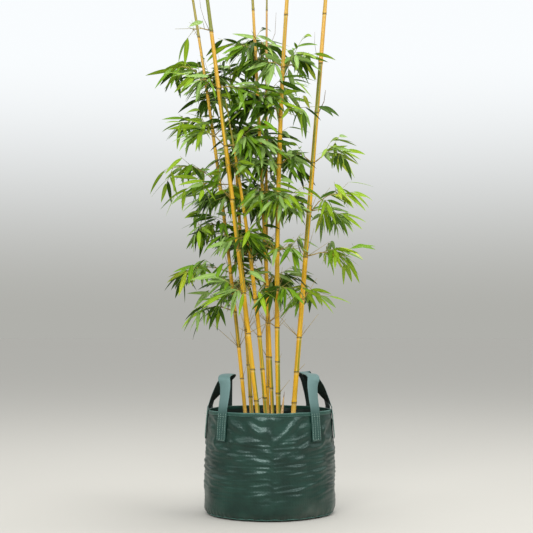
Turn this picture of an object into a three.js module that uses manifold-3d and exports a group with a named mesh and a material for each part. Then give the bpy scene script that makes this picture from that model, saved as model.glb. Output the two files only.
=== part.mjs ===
// A clump of golden bamboo in a round bag of woven polyethylene with four lifting loops.
// Millimetres, +Z up. The origin is the middle of the bag's flat underside, and -Y is the viewer's side.
import * as THREE from "three";
import { mergeVertices } from "three/addons/utils/BufferGeometryUtils.js";
import Module from "manifold-3d";

const wasm = await Module();
wasm.setup();

// Driving dimensions
const CLEAR = 0.3;
const BAG = {
  height: 355,
  rimRadius: 211,
  bellyRadius: 224,
  bellyHeight: 106,
  footRadius: 203,
  footRound: 30,
  footTaper: 1.5,
  weltRadius: 213,
  weltHeight: 5,
  weltFold: 3,
  wall: 2.4,
  hemHeight: 13,
  hemThickness: 1.2,
  sides: 32,
};
const LOBES = [
  { waves: 3, share: 0.009, phase: 0.6 },
  { waves: 5, share: 0.006, phase: 2.1 },
];
const SOIL_DROP = 45;
const SOIL_TOP = BAG.height - SOIL_DROP;
const LOOP = {
  width: 44,
  thickness: 2.6,
  patchLength: 98,
  upright: 8,
  patchSteps: 3,
  steps: 22,
};
// Each loop's two feet, in degrees from the viewer's side round to the right, its height, how far it leans in
// over the bag, and where along its way it crosses, peaks, tilts outwards and turns over
const FRONT_LOOP = {
  patch: 46.6,
  side: 86,
  rise: 125,
  lean: 16,
  leanPower: 0.74,
  crossing: 1.33,
  skew: 0.99,
  fullness: 0.9,
  sideTilt: 0.6,
  tiltFrom: 0.3,
  tiltFull: 0.63,
  twistPower: 1.9,
  lateTwist: 0.06,
  latePower: 14,
};
const LOOPS = [
  { name: "loop_front_right", ...FRONT_LOOP },
  { name: "loop_front_left", ...FRONT_LOOP, patch: -46.6, side: -86 },
  {
    name: "loop_back_right",
    patch: 136,
    side: 107.6,
    rise: 123.5,
    lean: 51,
    leanPower: 1.41,
    crossing: 1.19,
    skew: 0.78,
    fullness: 0.88,
    sideTilt: 0.48,
    tiltFrom: 0.21,
    tiltFull: 0.5,
    twistPower: 0.64,
    lateTwist: 0.14,
    latePower: 8.5,
  },
  {
    name: "loop_back_left",
    patch: -136.9,
    side: -107,
    rise: 109,
    lean: 48,
    leanPower: 1.6,
    crossing: 0.6,
    skew: 0.6,
    fullness: 0.55,
    sideTilt: 0.39,
    tiltFrom: 0.43,
    tiltFull: 0.94,
    twistPower: 1.05,
    lateTwist: 0.06,
    latePower: 3,
  },
];
const CULM = {
  sides: 6,
  leanHeight: 1460,
  tipRadius: 1.1,
  taperPower: 3,
  ridge: 1.16,
  ridgeHalfHeight: 4,
  plainAbove: 1720,
  endShare: 0.2,
  endLength: 46,
};
const BRANCH = {
  fall: -30,
  flatten: 0.87,
  bend: 16,
  segments: 3,
  radius: 2.6,
  endRadius: 1.7,
  firstTwig: 0.3,
  twigGap: 0.26,
  gapSpread: 0.05,
  twigs: 3,
  twigTurn: 52,
  turnSpread: 12,
  twigDrop: 6,
  dropSpread: 24,
  twigShare: 0.5,
  twigShorten: 0.25,
  leastTwig: 50,
  lengthSpread: 10,
  twigRadius: 1.2,
  leafReach: 78,
  room: 6,
  twigRoom: 4,
  twigBase: 0.4,
};
const LEAF = {
  length: 118,
  width: 27,
  thickness: 1.4,
  waist: 0.36,
  perHand: 7,
  innerHand: [0, 3],
  outerHand: [0, 2, 5],
  firstRoot: 0.3,
  splay: 58,
  outerSplay: 22,
  headingSpread: 12,
  drop: 16,
  moreDrop: 26,
  pitchSpread: 18,
  innerSize: 0.84,
  sizeSpread: 0.12,
  rollSpread: 40,
  sink: 0.6,
};
const STEER = [0, 15, -15, 30, -30, 45, -45, 60, -60];
// A twig or leaf is pushed this much further in, by steps, until no face of the joint is a sliver
const PUSH = { steps: 8, by: 0.13, sliver: 0.0012 };

// Each culm: where its foot stands, how far it leans and sweeps out by the height leanHeight above the soil,
// its height, its foot's diameter, its first node and internodes, and its branches.
// A branch is [node, heading, reach, lift]. A heading is in degrees from +X, and 90 points away from the
// viewer. The lift is the angle at which a stem sets out.
const CULMS = [
  {
    name: "culm_left",
    foot: [-80, 25],
    lean: [-136, 45],
    sweep: [-50, 10],
    height: 2330,
    diameter: 13,
    first: 149,
    shortest: 109,
    growth: 13,
    longest: 178,
    branches: [
      [2, 200, 182, 30],
      [3, 186, 218, 30],
      [4, 176, 165, 50],
      [5, 182, 262, 60],
      [6, 182, 186, 75],
      [7, 176, 215, 86],
      [11, 150, 180, 60],
    ],
  },
  {
    name: "culm_back_left",
    foot: [-59, 40],
    lean: [-95, 95],
    sweep: [0, 20],
    height: 1590,
    diameter: 14,
    first: 85,
    shortest: 110,
    growth: 12,
    longest: 175,
    branches: [
      [3, 112, 200, 50],
      [5, 138, 210, 62],
      [6, 84, 195, 45],
      [8, 150, 170, 65],
    ],
  },
  {
    name: "culm_front_left",
    foot: [-35, -50],
    lean: [-169, -50],
    sweep: [-9, -12],
    height: 2560,
    diameter: 16,
    first: 77,
    shortest: 107,
    growth: 15,
    longest: 195,
    branches: [
      [3, 240, 120, 35],
      [4, 278, 150, 70],
      [5, 212, 210, 60],
      [6, 206, 190, 62],
      [7, 228, 165, 45],
      [8, 188, 130, 25],
      [10, 215, 180, 60],
      [12, 20, 150, 65],
    ],
  },
  {
    name: "culm_thin_front",
    foot: [-9, -32],
    lean: [-95, -28],
    sweep: [-120, -20],
    height: 1430,
    diameter: 15,
    first: 86,
    shortest: 98,
    growth: 14,
    longest: 165,
    branches: [
      [6, 252, 170, 60],
      [7, 300, 165, 50],
    ],
  },
  {
    name: "culm_thin_back",
    foot: [-3, 26],
    lean: [-20, 52],
    sweep: [15, 26],
    height: 2180,
    diameter: 10.5,
    first: 120,
    shortest: 104,
    growth: 14,
    longest: 172,
    branches: [
      [3, 72, 200, 45],
      [5, 98, 215, 62],
      [7, 62, 205, 50],
      [8, 110, 180, 84],
      [11, 90, 150, 65],
    ],
  },
  {
    name: "culm_middle",
    foot: [13, -4],
    lean: [-62, -10],
    sweep: [-8, -6],
    height: 2440,
    diameter: 12.5,
    first: 117,
    shortest: 107,
    growth: 10,
    longest: 176,
    branches: [
      [5, 272, 185, 55],
      [6, 262, 192, 62],
      [7, 288, 170, 68],
      [8, 246, 165, 72],
      [12, 250, 160, 65],
    ],
  },
  {
    name: "culm_front_right",
    foot: [33, -28],
    lean: [-40, -42],
    sweep: [69, -14],
    height: 2640,
    diameter: 16,
    first: 101,
    shortest: 108,
    growth: 9,
    longest: 182,
    branches: [
      [3, 300, 135, 32],
      [4, 330, 135, 30],
      [5, 288, 165, 58],
      [7, 350, 145, 75],
      [8, 4, 150, 80],
      [11, 330, 175, 60],
      [13, 190, 150, 65],
    ],
  },
  {
    name: "culm_right",
    foot: [81, -4],
    lean: [116, 12],
    sweep: [0, 8],
    height: 2570,
    diameter: 17,
    first: 67,
    shortest: 106,
    growth: 13,
    longest: 175,
    branches: [
      [3, 62, 190, 50],
      [4, 350, 195, 28],
      [5, 346, 220, 68],
      [5, 34, 180, 20],
      [6, 6, 165, 65],
      [11, 340, 180, 60],
      [13, 60, 150, 65],
    ],
  },
];
const SHOOT = {
  foot: [40, -47],
  lean: [12, -4],
  height: 108,
  radius: 5.5,
  swell: [0.45, 0.92],
  neck: [0.8, 0.55],
};

const COLOURS = {
  bag: [0x24483f, 0.42],
  strap: [0x5f8881, 0.6],
  soil: [0x3a2d22, 0.95],
  culm: [0xd9a320, 0.38],
  shoot: [0xc9a070, 0.6],
  foliage: [0x4f8a2c, 0.5],
};

const radians = THREE.MathUtils.degToRad;
const lerp = THREE.MathUtils.lerp;
const eased = (share) => THREE.MathUtils.smootherstep(share, 0, 1);

function material(kind) {
  const [color, roughness] = COLOURS[kind];
  return new THREE.MeshStandardMaterial({ color, roughness, metalness: 0 });
}

function named(name, geometry, kind) {
  geometry.computeVertexNormals();
  const mesh = new THREE.Mesh(geometry, material(kind));
  mesh.name = name;
  return mesh;
}

// The same numbers for the same seed, between 0 and 1
function seeded(seed) {
  let state = (seed * 2654435761) >>> 0;
  const next = () => {
    state = (Math.imul(state, 1664525) + 1013904223) >>> 0;
    return state / 4294967296;
  };
  for (let i = 0; i < 3; i++) next();
  return next;
}

// A closed geometry as a solid, with its doubled vertices merged
function solidOf(geometry) {
  const bare = geometry.clone();
  bare.deleteAttribute("normal");
  bare.deleteAttribute("uv");
  const merged = mergeVertices(bare, 1e-4);
  const triangles = [];
  for (let i = 0; i < merged.index.count; i += 3) {
    const [a, b, c] = [0, 1, 2].map((k) => merged.index.getX(i + k));
    if (a !== b && b !== c && c !== a) triangles.push(a, b, c);
  }
  return new wasm.Manifold(
    new wasm.Mesh({
      numProp: 3,
      vertProperties: merged.attributes.position.array,
      triVerts: new Uint32Array(triangles),
    }),
  );
}

function geometryOf(solid) {
  const mesh = solid.getMesh();
  const geometry = new THREE.BufferGeometry();
  geometry.setAttribute("position", new THREE.BufferAttribute(new Float32Array(mesh.vertProperties), 3));
  geometry.setIndex(new THREE.BufferAttribute(new Uint32Array(mesh.triVerts), 1));
  return geometry;
}

// Turns a profile of [radius, height] round the upright axis
function turned(profile, sides) {
  const points = profile.map(([radius, height]) => new THREE.Vector2(radius, height));
  return new THREE.LatheGeometry(points, sides).rotateX(Math.PI / 2);
}

function moveEach(geometry, change) {
  const position = geometry.attributes.position;
  const point = new THREE.Vector3();
  for (let i = 0; i < position.count; i++) {
    point.fromBufferAttribute(position, i);
    change(point);
    position.setXYZ(i, point.x, point.y, point.z);
  }
  return geometry;
}

// The bag's outer radius at a height, before the lobes
function bagRadius(height) {
  const { rimRadius, bellyRadius, bellyHeight, footRound, footRadius } = BAG;
  if (height >= bellyHeight) {
    const share = (height - bellyHeight) / (BAG.height - bellyHeight);
    return bellyRadius - (bellyRadius - rimRadius) * share ** 2;
  }
  if (height >= footRound) return bellyRadius - BAG.footTaper * ((bellyHeight - height) / bellyHeight) ** 2;
  const round = Math.sqrt(1 - (1 - height / footRound) ** 2);
  return lerp(footRadius, bagRadius(footRound), round);
}

// The soft wall isn't quite round: a few broad lobes run up it from foot to rim
function bagLobe(angle) {
  return LOBES.reduce((sum, { waves, share, phase }) => sum + share * Math.sin(waves * angle + phase), 1);
}

function addLobes(geometry) {
  return moveEach(geometry, (p) => {
    const grown = bagLobe(Math.atan2(p.y, p.x));
    p.x *= grown;
    p.y *= grown;
  });
}

const WALL_HEIGHTS = [BAG.footRound, BAG.bellyHeight, (BAG.bellyHeight + SOIL_TOP) / 2, SOIL_TOP];

function bag() {
  const { footRadius, weltRadius, weltHeight, wall, height, hemHeight, hemThickness } = BAG;
  const hemFoot = height - hemHeight;
  const outer = (z) => [bagRadius(z), z];
  const inner = (z) => [bagRadius(z) - wall, z];
  const profile = [
    [0, 0],
    [footRadius, 0],
    [weltRadius, weltHeight - BAG.weltFold],
    [weltRadius, weltHeight],
    outer(weltHeight + BAG.weltFold),
    ...WALL_HEIGHTS.map(outer),
    outer(hemFoot),
    [bagRadius(hemFoot) + hemThickness, hemFoot + 1],
    [bagRadius(height) + hemThickness, height],
    inner(height),
    ...WALL_HEIGHTS.map(inner).reverse(),
    [footRadius - wall, wall],
    [0, wall],
  ];
  return named("planter_bag", addLobes(turned(profile, BAG.sides)), "bag");
}

function soil() {
  const { footRadius, wall } = BAG;
  const inset = wall + CLEAR;
  const profile = [
    [0, inset],
    [footRadius - inset, inset],
    ...WALL_HEIGHTS.map((z) => [bagRadius(z) - inset, z]),
    [0, SOIL_TOP],
  ];
  return named("potting_mix", addLobes(turned(profile, BAG.sides)), "soil");
}

// A direction on plan: 0 is the viewer's side, 90 the right
function outwardAt(degrees) {
  return new THREE.Vector3(Math.sin(radians(degrees)), -Math.cos(radians(degrees)), 0);
}

// The bag's radius in that direction, with its lobes
function wallAt(degrees, height) {
  const out = outwardAt(degrees);
  return bagRadius(height) * bagLobe(Math.atan2(out.y, out.x));
}

// One lifting loop: a strap sewn flat on the wall at both ends that rises, turns over and comes down again
function liftingLoop({ name, patch, side, rise, lean, ...way }) {
  const { width, thickness, patchLength, upright, patchSteps, steps } = LOOP;
  const stand = BAG.hemThickness + CLEAR + thickness / 2;
  const stations = [];
  const turn = side > patch ? 1 : -1;
  const station = (degrees, height, inward, twist) => {
    const out = outwardAt(degrees);
    const along = new THREE.Vector3(-out.y, out.x, 0).multiplyScalar(turn);
    const at = Math.min(height, BAG.height);
    const point = out.clone().multiplyScalar(wallAt(degrees, at) + stand - inward).setZ(height);
    stations.push({ point, out, along, twist });
  };
  const foot = BAG.height - patchLength;
  const straight = BAG.height + upright;
  for (let i = 0; i <= patchSteps; i++) station(patch, lerp(foot, straight, i / patchSteps), 0, 0);
  for (let i = 1; i < steps; i++) {
    const share = i / steps;
    const across = eased(share ** way.crossing);
    const over = (rise - upright) * Math.sin(Math.PI * share ** way.skew) ** way.fullness;
    const tilted = THREE.MathUtils.smoothstep(share, way.tiltFrom, way.tiltFull);
    const leaning = lean * Math.sin(Math.PI * share) ** way.leanPower;
    const turned = (1 - way.lateTwist) * share ** way.twistPower + way.lateTwist * share ** way.latePower;
    const inward = lerp(leaning, way.sideTilt * over, tilted);
    station(lerp(patch, side, across), straight + over, inward, Math.PI * turned);
  }
  for (let i = patchSteps; i >= 0; i--) station(side, lerp(foot, straight, i / patchSteps), 0, Math.PI);

  // The strap's width runs along the rim at both ends, and points out across the loop at its top
  const sections = stations.map(({ point, out, along, twist }, i) => {
    const before = stations[Math.max(0, i - 1)].point;
    const after = stations[Math.min(stations.length - 1, i + 1)].point;
    const tangent = after.clone().sub(before).normalize();
    const wide = along.clone().multiplyScalar(Math.cos(twist)).addScaledVector(out, Math.sin(twist));
    wide.addScaledVector(tangent, -wide.dot(tangent)).normalize();
    const face = new THREE.Vector3().crossVectors(tangent, wide).normalize();
    return [[-1, -1], [1, -1], [1, 1], [-1, 1]].map(([w, f]) =>
      point.clone().addScaledVector(wide, (w * width) / 2).addScaledVector(face, (f * thickness) / 2),
    );
  });
  return named(name, loft(sections), "strap");
}

// Joins rings of points into one closed geometry. The rings all have the same number of corners, apart from
// a single point where the form ends in one.
function loft(rings) {
  const starts = [];
  const points = [];
  for (const ring of rings) {
    starts.push(points.length);
    points.push(...ring);
  }
  const index = [];
  for (let r = 0; r < rings.length - 1; r++) {
    const corners = Math.max(rings[r].length, rings[r + 1].length);
    const low = (c) => starts[r] + (rings[r].length === 1 ? 0 : c % corners);
    const high = (c) => starts[r + 1] + (rings[r + 1].length === 1 ? 0 : c % corners);
    for (let c = 0; c < corners; c++) {
      if (rings[r].length > 1) index.push(low(c), low(c + 1), high(c + 1));
      if (rings[r + 1].length > 1) index.push(low(c), high(c + 1), high(c));
    }
  }
  const last = starts[rings.length - 1];
  for (let c = 1; c < rings[0].length - 1; c++) index.push(0, c + 1, c);
  for (let c = 1; c < rings[rings.length - 1].length - 1; c++) index.push(last, last + c, last + c + 1);
  const geometry = new THREE.BufferGeometry();
  geometry.setAttribute("position", new THREE.Float32BufferAttribute(points.flatMap((p) => p.toArray()), 3));
  geometry.setIndex(index);
  return geometry;
}

// Where a culm's axis is at a height
function culmAxis(culm, height) {
  const t = (height - SOIL_TOP) / CULM.leanHeight;
  return new THREE.Vector3(
    culm.foot[0] + culm.lean[0] * t + culm.sweep[0] * t * t,
    culm.foot[1] + culm.lean[1] * t + culm.sweep[1] * t * t,
    height,
  );
}

function culmRadius(culm, height) {
  const share = (height - SOIL_TOP) / (culm.height - SOIL_TOP);
  const lost = Math.max(0, share) ** CULM.taperPower;
  return lerp(culm.diameter / 2, CULM.tipRadius, Math.min(1, lost));
}

// Node heights: the internodes lengthen to the longest, and shorten again near the tip
function nodeHeights(culm) {
  const heights = [];
  let height = SOIL_TOP + culm.first;
  for (let i = 0; height < culm.height - CULM.endLength; i++) {
    heights.push(height);
    const left = culm.height - height;
    height += Math.min(culm.shortest + culm.growth * i, culm.longest, CULM.endShare * left + CULM.endLength);
  }
  return heights;
}

function culmGeometry(culm) {
  const ring = (z, factor) => [culmRadius(culm, z) * factor, z];
  const profile = [[0, SOIL_TOP + CLEAR], ring(SOIL_TOP + CLEAR, 1)];
  for (const z of nodeHeights(culm)) {
    if (z < CULM.plainAbove) profile.push(ring(z - CULM.ridgeHalfHeight, 1), ring(z, CULM.ridge));
    else profile.push(ring(z, 1));
  }
  profile.push(ring(culm.height, 1), [0, culm.height]);
  return moveEach(turned(profile, CULM.sides), (p) => {
    const axis = culmAxis(culm, p.z);
    p.x += axis.x;
    p.y += axis.y;
  });
}

function shoot() {
  const { foot, lean, height, radius, swell, neck } = SHOOT;
  const profile = [
    [0, SOIL_TOP + CLEAR],
    [radius, SOIL_TOP + CLEAR],
    ...[swell, neck].map(([share, width]) => [radius * width, SOIL_TOP + height * share]),
    [0, SOIL_TOP + height],
  ];
  const geometry = moveEach(turned(profile, CULM.sides), (p) => {
    const share = (p.z - SOIL_TOP) / height;
    p.x += foot[0] + lean[0] * share;
    p.y += foot[1] + lean[1] * share;
  });
  return named("young_shoot", geometry, "shoot");
}

// The way that a heading and a pitch, both in degrees, point
function pointing(heading, pitch) {
  const [h, p] = [radians(heading), radians(pitch)];
  return new THREE.Vector3(Math.cos(h) * Math.cos(p), Math.sin(h) * Math.cos(p), Math.sin(p));
}

// One branch: a stem that rises from its node and arches over, a twig to either side in turn, and a hand of
// leaves on each twig and on the stem's end. All draws are made in one fixed order, whatever is kept of them.
function grow(start, heading, reach, lift, seed) {
  const chance = seeded(seed);
  const spread = (amount) => (chance() * 2 - 1) * amount;
  const length = (reach - BRANCH.leafReach) / BRANCH.flatten;
  const bend = spread(BRANCH.bend);
  const stem = [start.clone()];
  const pitchAt = (s) => lerp(lift, BRANCH.fall, s);
  for (let i = 0; i < BRANCH.segments; i++) {
    const s = (i + 0.5) / BRANCH.segments;
    const step = pointing(heading + bend * s, pitchAt(s)).multiplyScalar(length / BRANCH.segments);
    stem.push(stem[i].clone().add(step));
  }
  const hands = [];
  const hand = (from, tip, handHeading, handPitch) => {
    const leaves = [];
    for (let n = 0; n < LEAF.perHand; n++) {
      const u = lerp(1, LEAF.firstRoot, n / (LEAF.perHand - 1));
      const side = n === 0 ? 0 : n % 2 ? 1 : -1;
      leaves.push({
        root: from.clone().lerp(tip, u),
        heading: handHeading + side * lerp(LEAF.splay, LEAF.outerSplay, u) + spread(LEAF.headingSpread),
        pitch: handPitch - LEAF.drop - LEAF.moreDrop * chance() + spread(LEAF.pitchSpread),
        size: lerp(LEAF.innerSize, 1, u) + spread(LEAF.sizeSpread),
        roll: spread(LEAF.rollSpread),
      });
    }
    hands.push({ from, tip, leaves });
  };
  const firstSide = chance() < 0.5 ? 1 : -1;
  for (let k = 0; k < BRANCH.twigs; k++) {
    const s = BRANCH.firstTwig + BRANCH.twigGap * k + spread(BRANCH.gapSpread);
    const turn = (k % 2 ? -firstSide : firstSide) * (BRANCH.twigTurn + spread(BRANCH.turnSpread));
    const twigHeading = heading + bend * s + turn;
    const twigPitch = pitchAt(s) - BRANCH.twigDrop + spread(BRANCH.dropSpread);
    const share = BRANCH.twigShare - BRANCH.twigShorten * s;
    const twigLength = Math.max(BRANCH.leastTwig, length * share) + spread(BRANCH.lengthSpread);
    const along = s * BRANCH.segments;
    const piece = Math.min(BRANCH.segments - 1, Math.floor(along));
    const from = stem[piece].clone().lerp(stem[piece + 1], along - piece);
    const tip = from.clone().addScaledVector(pointing(twigHeading, twigPitch), twigLength);
    hand(from, tip, twigHeading, twigPitch);
  }
  const [before, last] = stem.slice(-2);
  hand(before, last, heading + bend, pitchAt(1 - 0.5 / BRANCH.segments));
  return { stem, hands };
}

// A closed form with three flat sides through stations of { point, wide, thick }, one behind the other.
// A station of no width is a point. The section at the first station stands square to firstWay.
function strand(stations, roll = 0, firstWay = null) {
  const points = stations.map((station) => station.point);
  return loft(
    stations.map(({ point, wide, thick }, i) => {
      if (!wide) return [point];
      const before = points[Math.max(0, i - 1)];
      const after = points[Math.min(points.length - 1, i + 1)];
      const way = i || !firstWay ? after.clone().sub(before).normalize() : firstWay;
      const side = new THREE.Vector3(-way.y, way.x, 0).normalize().applyAxisAngle(way, radians(roll));
      const up = new THREE.Vector3().crossVectors(way, side);
      return [90, 210, 330].map((degrees) =>
        point
          .clone()
          .addScaledVector(side, wide * Math.cos(radians(degrees)))
          .addScaledVector(up, thick * Math.sin(radians(degrees))),
      );
    }),
  );
}

const CORNER = Math.cos(radians(30));

// A leaf's stations from its root: widest at its waist, and a point at its tip
function bladeStations(root, leaf, grown) {
  const length = LEAF.length * leaf.size;
  const ahead = pointing(leaf.heading, leaf.pitch);
  return [
    {
      point: root.clone().addScaledVector(ahead, length * LEAF.waist),
      wide: ((LEAF.width * leaf.size) / 2 + grown) / CORNER,
      thick: LEAF.thickness / 1.5 + grown * 2,
    },
    { point: root.clone().addScaledVector(ahead, length + grown), wide: 0 },
  ];
}

function leafGeometry(leaf, grown = 0, push = 0) {
  const back = pointing(leaf.heading, leaf.pitch).multiplyScalar(-LEAF.sink - grown - push);
  const root = { point: leaf.root.clone().add(back), wide: 0 };
  return strand([root, ...bladeStations(leaf.root, leaf, grown)], leaf.roll);
}

// A twig from its stem out, with its end leaf grown on
function twigGeometry({ from, tip, leaves }, grown = 0, push = 0) {
  const section = { wide: BRANCH.twigRadius + grown, thick: BRANCH.twigRadius + grown };
  const back = from.clone().sub(tip).setLength(push);
  const stations = [{ point: from.clone().add(back), ...section }, { point: tip, ...section }];
  return strand([...stations, ...bladeStations(tip, leaves[0], grown)]);
}

// A stem with its end leaf, its first section upright beside the culm
function stemGeometry({ stem, hands }, heading, grown = 0) {
  const stations = stem.map((point, i) => {
    const radius = lerp(BRANCH.radius, BRANCH.endRadius, i / (stem.length - 1)) + grown;
    return { point, wide: radius, thick: radius };
  });
  const blade = bladeStations(stem[stem.length - 1], hands[hands.length - 1].leaves[0], grown);
  return strand([...stations, ...blade], 0, pointing(heading, 0));
}

// Whether a stretch between two points keeps this much room to every culm, apart from one that it grows on
function clearOfCulms(from, to, room, own = null) {
  const tests = 8;
  for (let i = 0; i <= tests; i++) {
    const point = from.clone().lerp(to, i / tests);
    for (const culm of CULMS) {
      if (culm === own || point.z > culm.height + room) continue;
      const distance = point.distanceTo(culmAxis(culm, point.z));
      if (distance < culmRadius(culm, point.z) * CULM.ridge + room) return false;
    }
  }
  return true;
}

const leafTip = ({ root, heading, pitch, size }) =>
  root.clone().addScaledVector(pointing(heading, pitch), LEAF.length * size);

// The branch at one node of a culm, turned by small steps until its stem and end leaf keep off the culms
function branchAt(culm, [node, heading, reach, lift], seed) {
  const height = nodeHeights(culm)[node] + CULM.ridgeHalfHeight;
  for (const turn of STEER) {
    const way = heading + turn;
    const out = culmRadius(culm, height) * CULM.ridge + CLEAR;
    const start = culmAxis(culm, height).addScaledVector(pointing(way, 0), out);
    const branch = grow(start, way, reach, lift, seed);
    const { stem, hands } = branch;
    const [end] = hands[hands.length - 1].leaves;
    const apart = (point, i) => clearOfCulms(stem[i], point, BRANCH.room, i ? null : culm);
    const stemClear = stem.slice(1).every(apart);
    if (stemClear && clearOfCulms(end.root, leafTip(end), LEAF.width / 2)) return { ...branch, way };
  }
  throw new Error(`${culm.name}: no way out at node ${node}`);
}

// What each branch holds so far, as solids with their boxes, so that no two branches meet
const held = [];

function boxOf(geometry) {
  geometry.computeBoundingBox();
  return geometry.boundingBox.clone();
}

function hold(owner, geometry) {
  held.push({ owner, box: boxOf(geometry), solid: solidOf(geometry) });
}

function isFree(owner, geometry) {
  const box = boxOf(geometry);
  const near = held.filter((other) => other.owner !== owner && other.box.intersectsBox(box));
  if (!near.length) return true;
  const solid = solidOf(geometry);
  return near.every((other) => other.solid.intersect(solid).isEmpty());
}

// The least height of any triangle of a solid
function thinnest(solid) {
  const { vertProperties, triVerts } = solid.getMesh();
  let least = Infinity;
  for (let i = 0; i < triVerts.length; i += 3) {
    const corner = (k) => new THREE.Vector3().fromArray(vertProperties, 3 * triVerts[i + k]);
    const [a, b, c] = [0, 1, 2].map(corner);
    const longest = Math.max(a.distanceTo(b), b.distanceTo(c), c.distanceTo(a));
    least = Math.min(least, (2 * new THREE.Triangle(a, b, c).getArea()) / longest);
  }
  return least;
}

// Joins a twig or leaf to a mass, or returns null where every place that is tried leaves a sliver
function joined(whole, geometryAt) {
  for (let step = 0; step < PUSH.steps; step++) {
    const sum = whole.add(solidOf(geometryAt(step * PUSH.by)));
    if (thinnest(sum) > PUSH.sliver && sum.decompose().length === 1) return sum;
  }
  return null;
}

// One mass of foliage: the stem, and each twig and leaf that has room
function foliageMass({ name, hands }, stem) {
  let whole = solidOf(stem);
  const add = (shape, what) => {
    if (!isFree(name, shape(what, CLEAR))) return false;
    const sum = joined(whole, (push) => shape(what, 0, push));
    if (!sum) return false;
    whole = sum;
    hold(name, shape(what));
    return true;
  };
  hands.forEach((hand, k) => {
    const { from, tip, leaves } = hand;
    if (k < BRANCH.twigs) {
      const outer = from.clone().lerp(tip, BRANCH.twigBase);
      const endLeafClear = clearOfCulms(tip, leafTip(leaves[0]), LEAF.width / 2);
      if (!endLeafClear || !clearOfCulms(outer, tip, BRANCH.twigRoom)) return;
      if (!add(twigGeometry, hand)) return;
    }
    for (const n of (k ? LEAF.outerHand : LEAF.innerHand).slice(1)) {
      const leaf = leaves[n];
      if (clearOfCulms(leaf.root, leafTip(leaf), LEAF.width / 2)) add(leafGeometry, leaf);
    }
  });
  return named(name, geometryOf(whole), "foliage");
}

const part = new THREE.Group();
part.add(bag(), soil());
for (const loop of LOOPS) part.add(liftingLoop(loop));
for (const culm of CULMS) part.add(named(culm.name, culmGeometry(culm), "culm"));
part.add(shoot());

const branches = CULMS.flatMap((culm, c) =>
  culm.branches.map((row, i) => ({
    name: `${culm.name.replace("culm", "leaves")}_${i + 1}`,
    ...branchAt(culm, row, 100 * (c + 1) + i),
  })),
);
const stems = branches.map((branch) => stemGeometry(branch, branch.way));
branches.forEach((branch, i) => hold(branch.name, stems[i]));
branches.forEach((branch, i) => part.add(foliageMass(branch, stems[i])));

export default part;
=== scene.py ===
# Golden bamboo in a round planter bag of woven polyethylene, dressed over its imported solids.
# Sizes are in millimetres, as in the part's source, and become metres where a mesh is made.
# The materials' depths and scales are in metres.
import math
import bpy
import numpy as np
from mathutils import Euler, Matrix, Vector, noise


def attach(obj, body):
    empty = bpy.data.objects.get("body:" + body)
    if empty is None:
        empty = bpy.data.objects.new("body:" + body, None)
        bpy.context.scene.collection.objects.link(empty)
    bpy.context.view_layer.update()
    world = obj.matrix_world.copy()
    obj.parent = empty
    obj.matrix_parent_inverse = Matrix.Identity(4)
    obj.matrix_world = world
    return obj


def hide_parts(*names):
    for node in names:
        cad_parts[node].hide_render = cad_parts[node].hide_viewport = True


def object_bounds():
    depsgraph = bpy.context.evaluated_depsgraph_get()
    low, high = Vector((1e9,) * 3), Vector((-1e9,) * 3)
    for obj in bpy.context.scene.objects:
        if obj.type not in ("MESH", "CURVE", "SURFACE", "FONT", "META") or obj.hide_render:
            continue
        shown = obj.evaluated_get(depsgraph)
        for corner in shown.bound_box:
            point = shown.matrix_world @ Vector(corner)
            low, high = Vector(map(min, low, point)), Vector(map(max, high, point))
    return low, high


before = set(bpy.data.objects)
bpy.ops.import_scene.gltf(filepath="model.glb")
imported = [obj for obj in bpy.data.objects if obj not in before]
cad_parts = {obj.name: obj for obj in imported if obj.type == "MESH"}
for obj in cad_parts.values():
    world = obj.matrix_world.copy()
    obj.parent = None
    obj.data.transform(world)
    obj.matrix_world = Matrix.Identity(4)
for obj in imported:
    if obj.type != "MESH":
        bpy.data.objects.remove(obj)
cadLow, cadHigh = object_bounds()
print("frame loaded,", len(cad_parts), "nodes")

# Camera: stands 4.54 m off and 0.67 m up, and looks up a little, as the photograph does
cameraSet = {"lens": 88.6, "sensor": 36, "place": (-0.009, -4.54, 0.665), "tiltUp": 2.29}
cameraData = bpy.data.cameras.new("camera")
cameraData.lens = cameraSet["lens"]
cameraData.sensor_width = cameraSet["sensor"]
camera = bpy.data.objects.new("camera", cameraData)
camera.location = cameraSet["place"]
camera.rotation_euler = (math.radians(90 + cameraSet["tiltUp"]), 0, 0)
bpy.context.scene.collection.objects.link(camera)
bpy.context.scene.camera = camera


# Small sums that many pieces share
def smoothStep(low, high, value):
    t = np.clip((value - low) / (high - low), 0, 1)
    return t * t * (3 - 2 * t)


def within(value, rise, fall):  # up from 0 to 1 over the first stretch and back over the second
    return smoothStep(*rise, value) * (1 - smoothStep(*fall, value))


def rough(x, y, z):  # smooth noise between -1 and 1
    return noise.noise(Vector((x, y, z)))


def wrapped(angle):  # the same angle, at most half a turn either way
    return (angle + math.pi) % (2 * math.pi) - math.pi


def roundTurn(count):
    return np.arange(count) * 2 * math.pi / count


def ringOf(angles, radius, z, middle=(0, 0)):
    x, y = middle[0] + radius * np.cos(angles), middle[1] + radius * np.sin(angles)
    return np.stack([x, y, z + 0 * angles], 1)


def unit(vectors):
    return vectors / np.linalg.norm(vectors, axis=1)[:, None]


def reachAlong(line):  # how far along a line each of its points is
    return np.concatenate([[0], np.cumsum(np.linalg.norm(np.diff(line, axis=0), axis=1))])


def pointsAt(at, reach, line):
    return np.stack([np.interp(at, reach, line[:, k]) for k in range(3)], 1)


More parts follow.
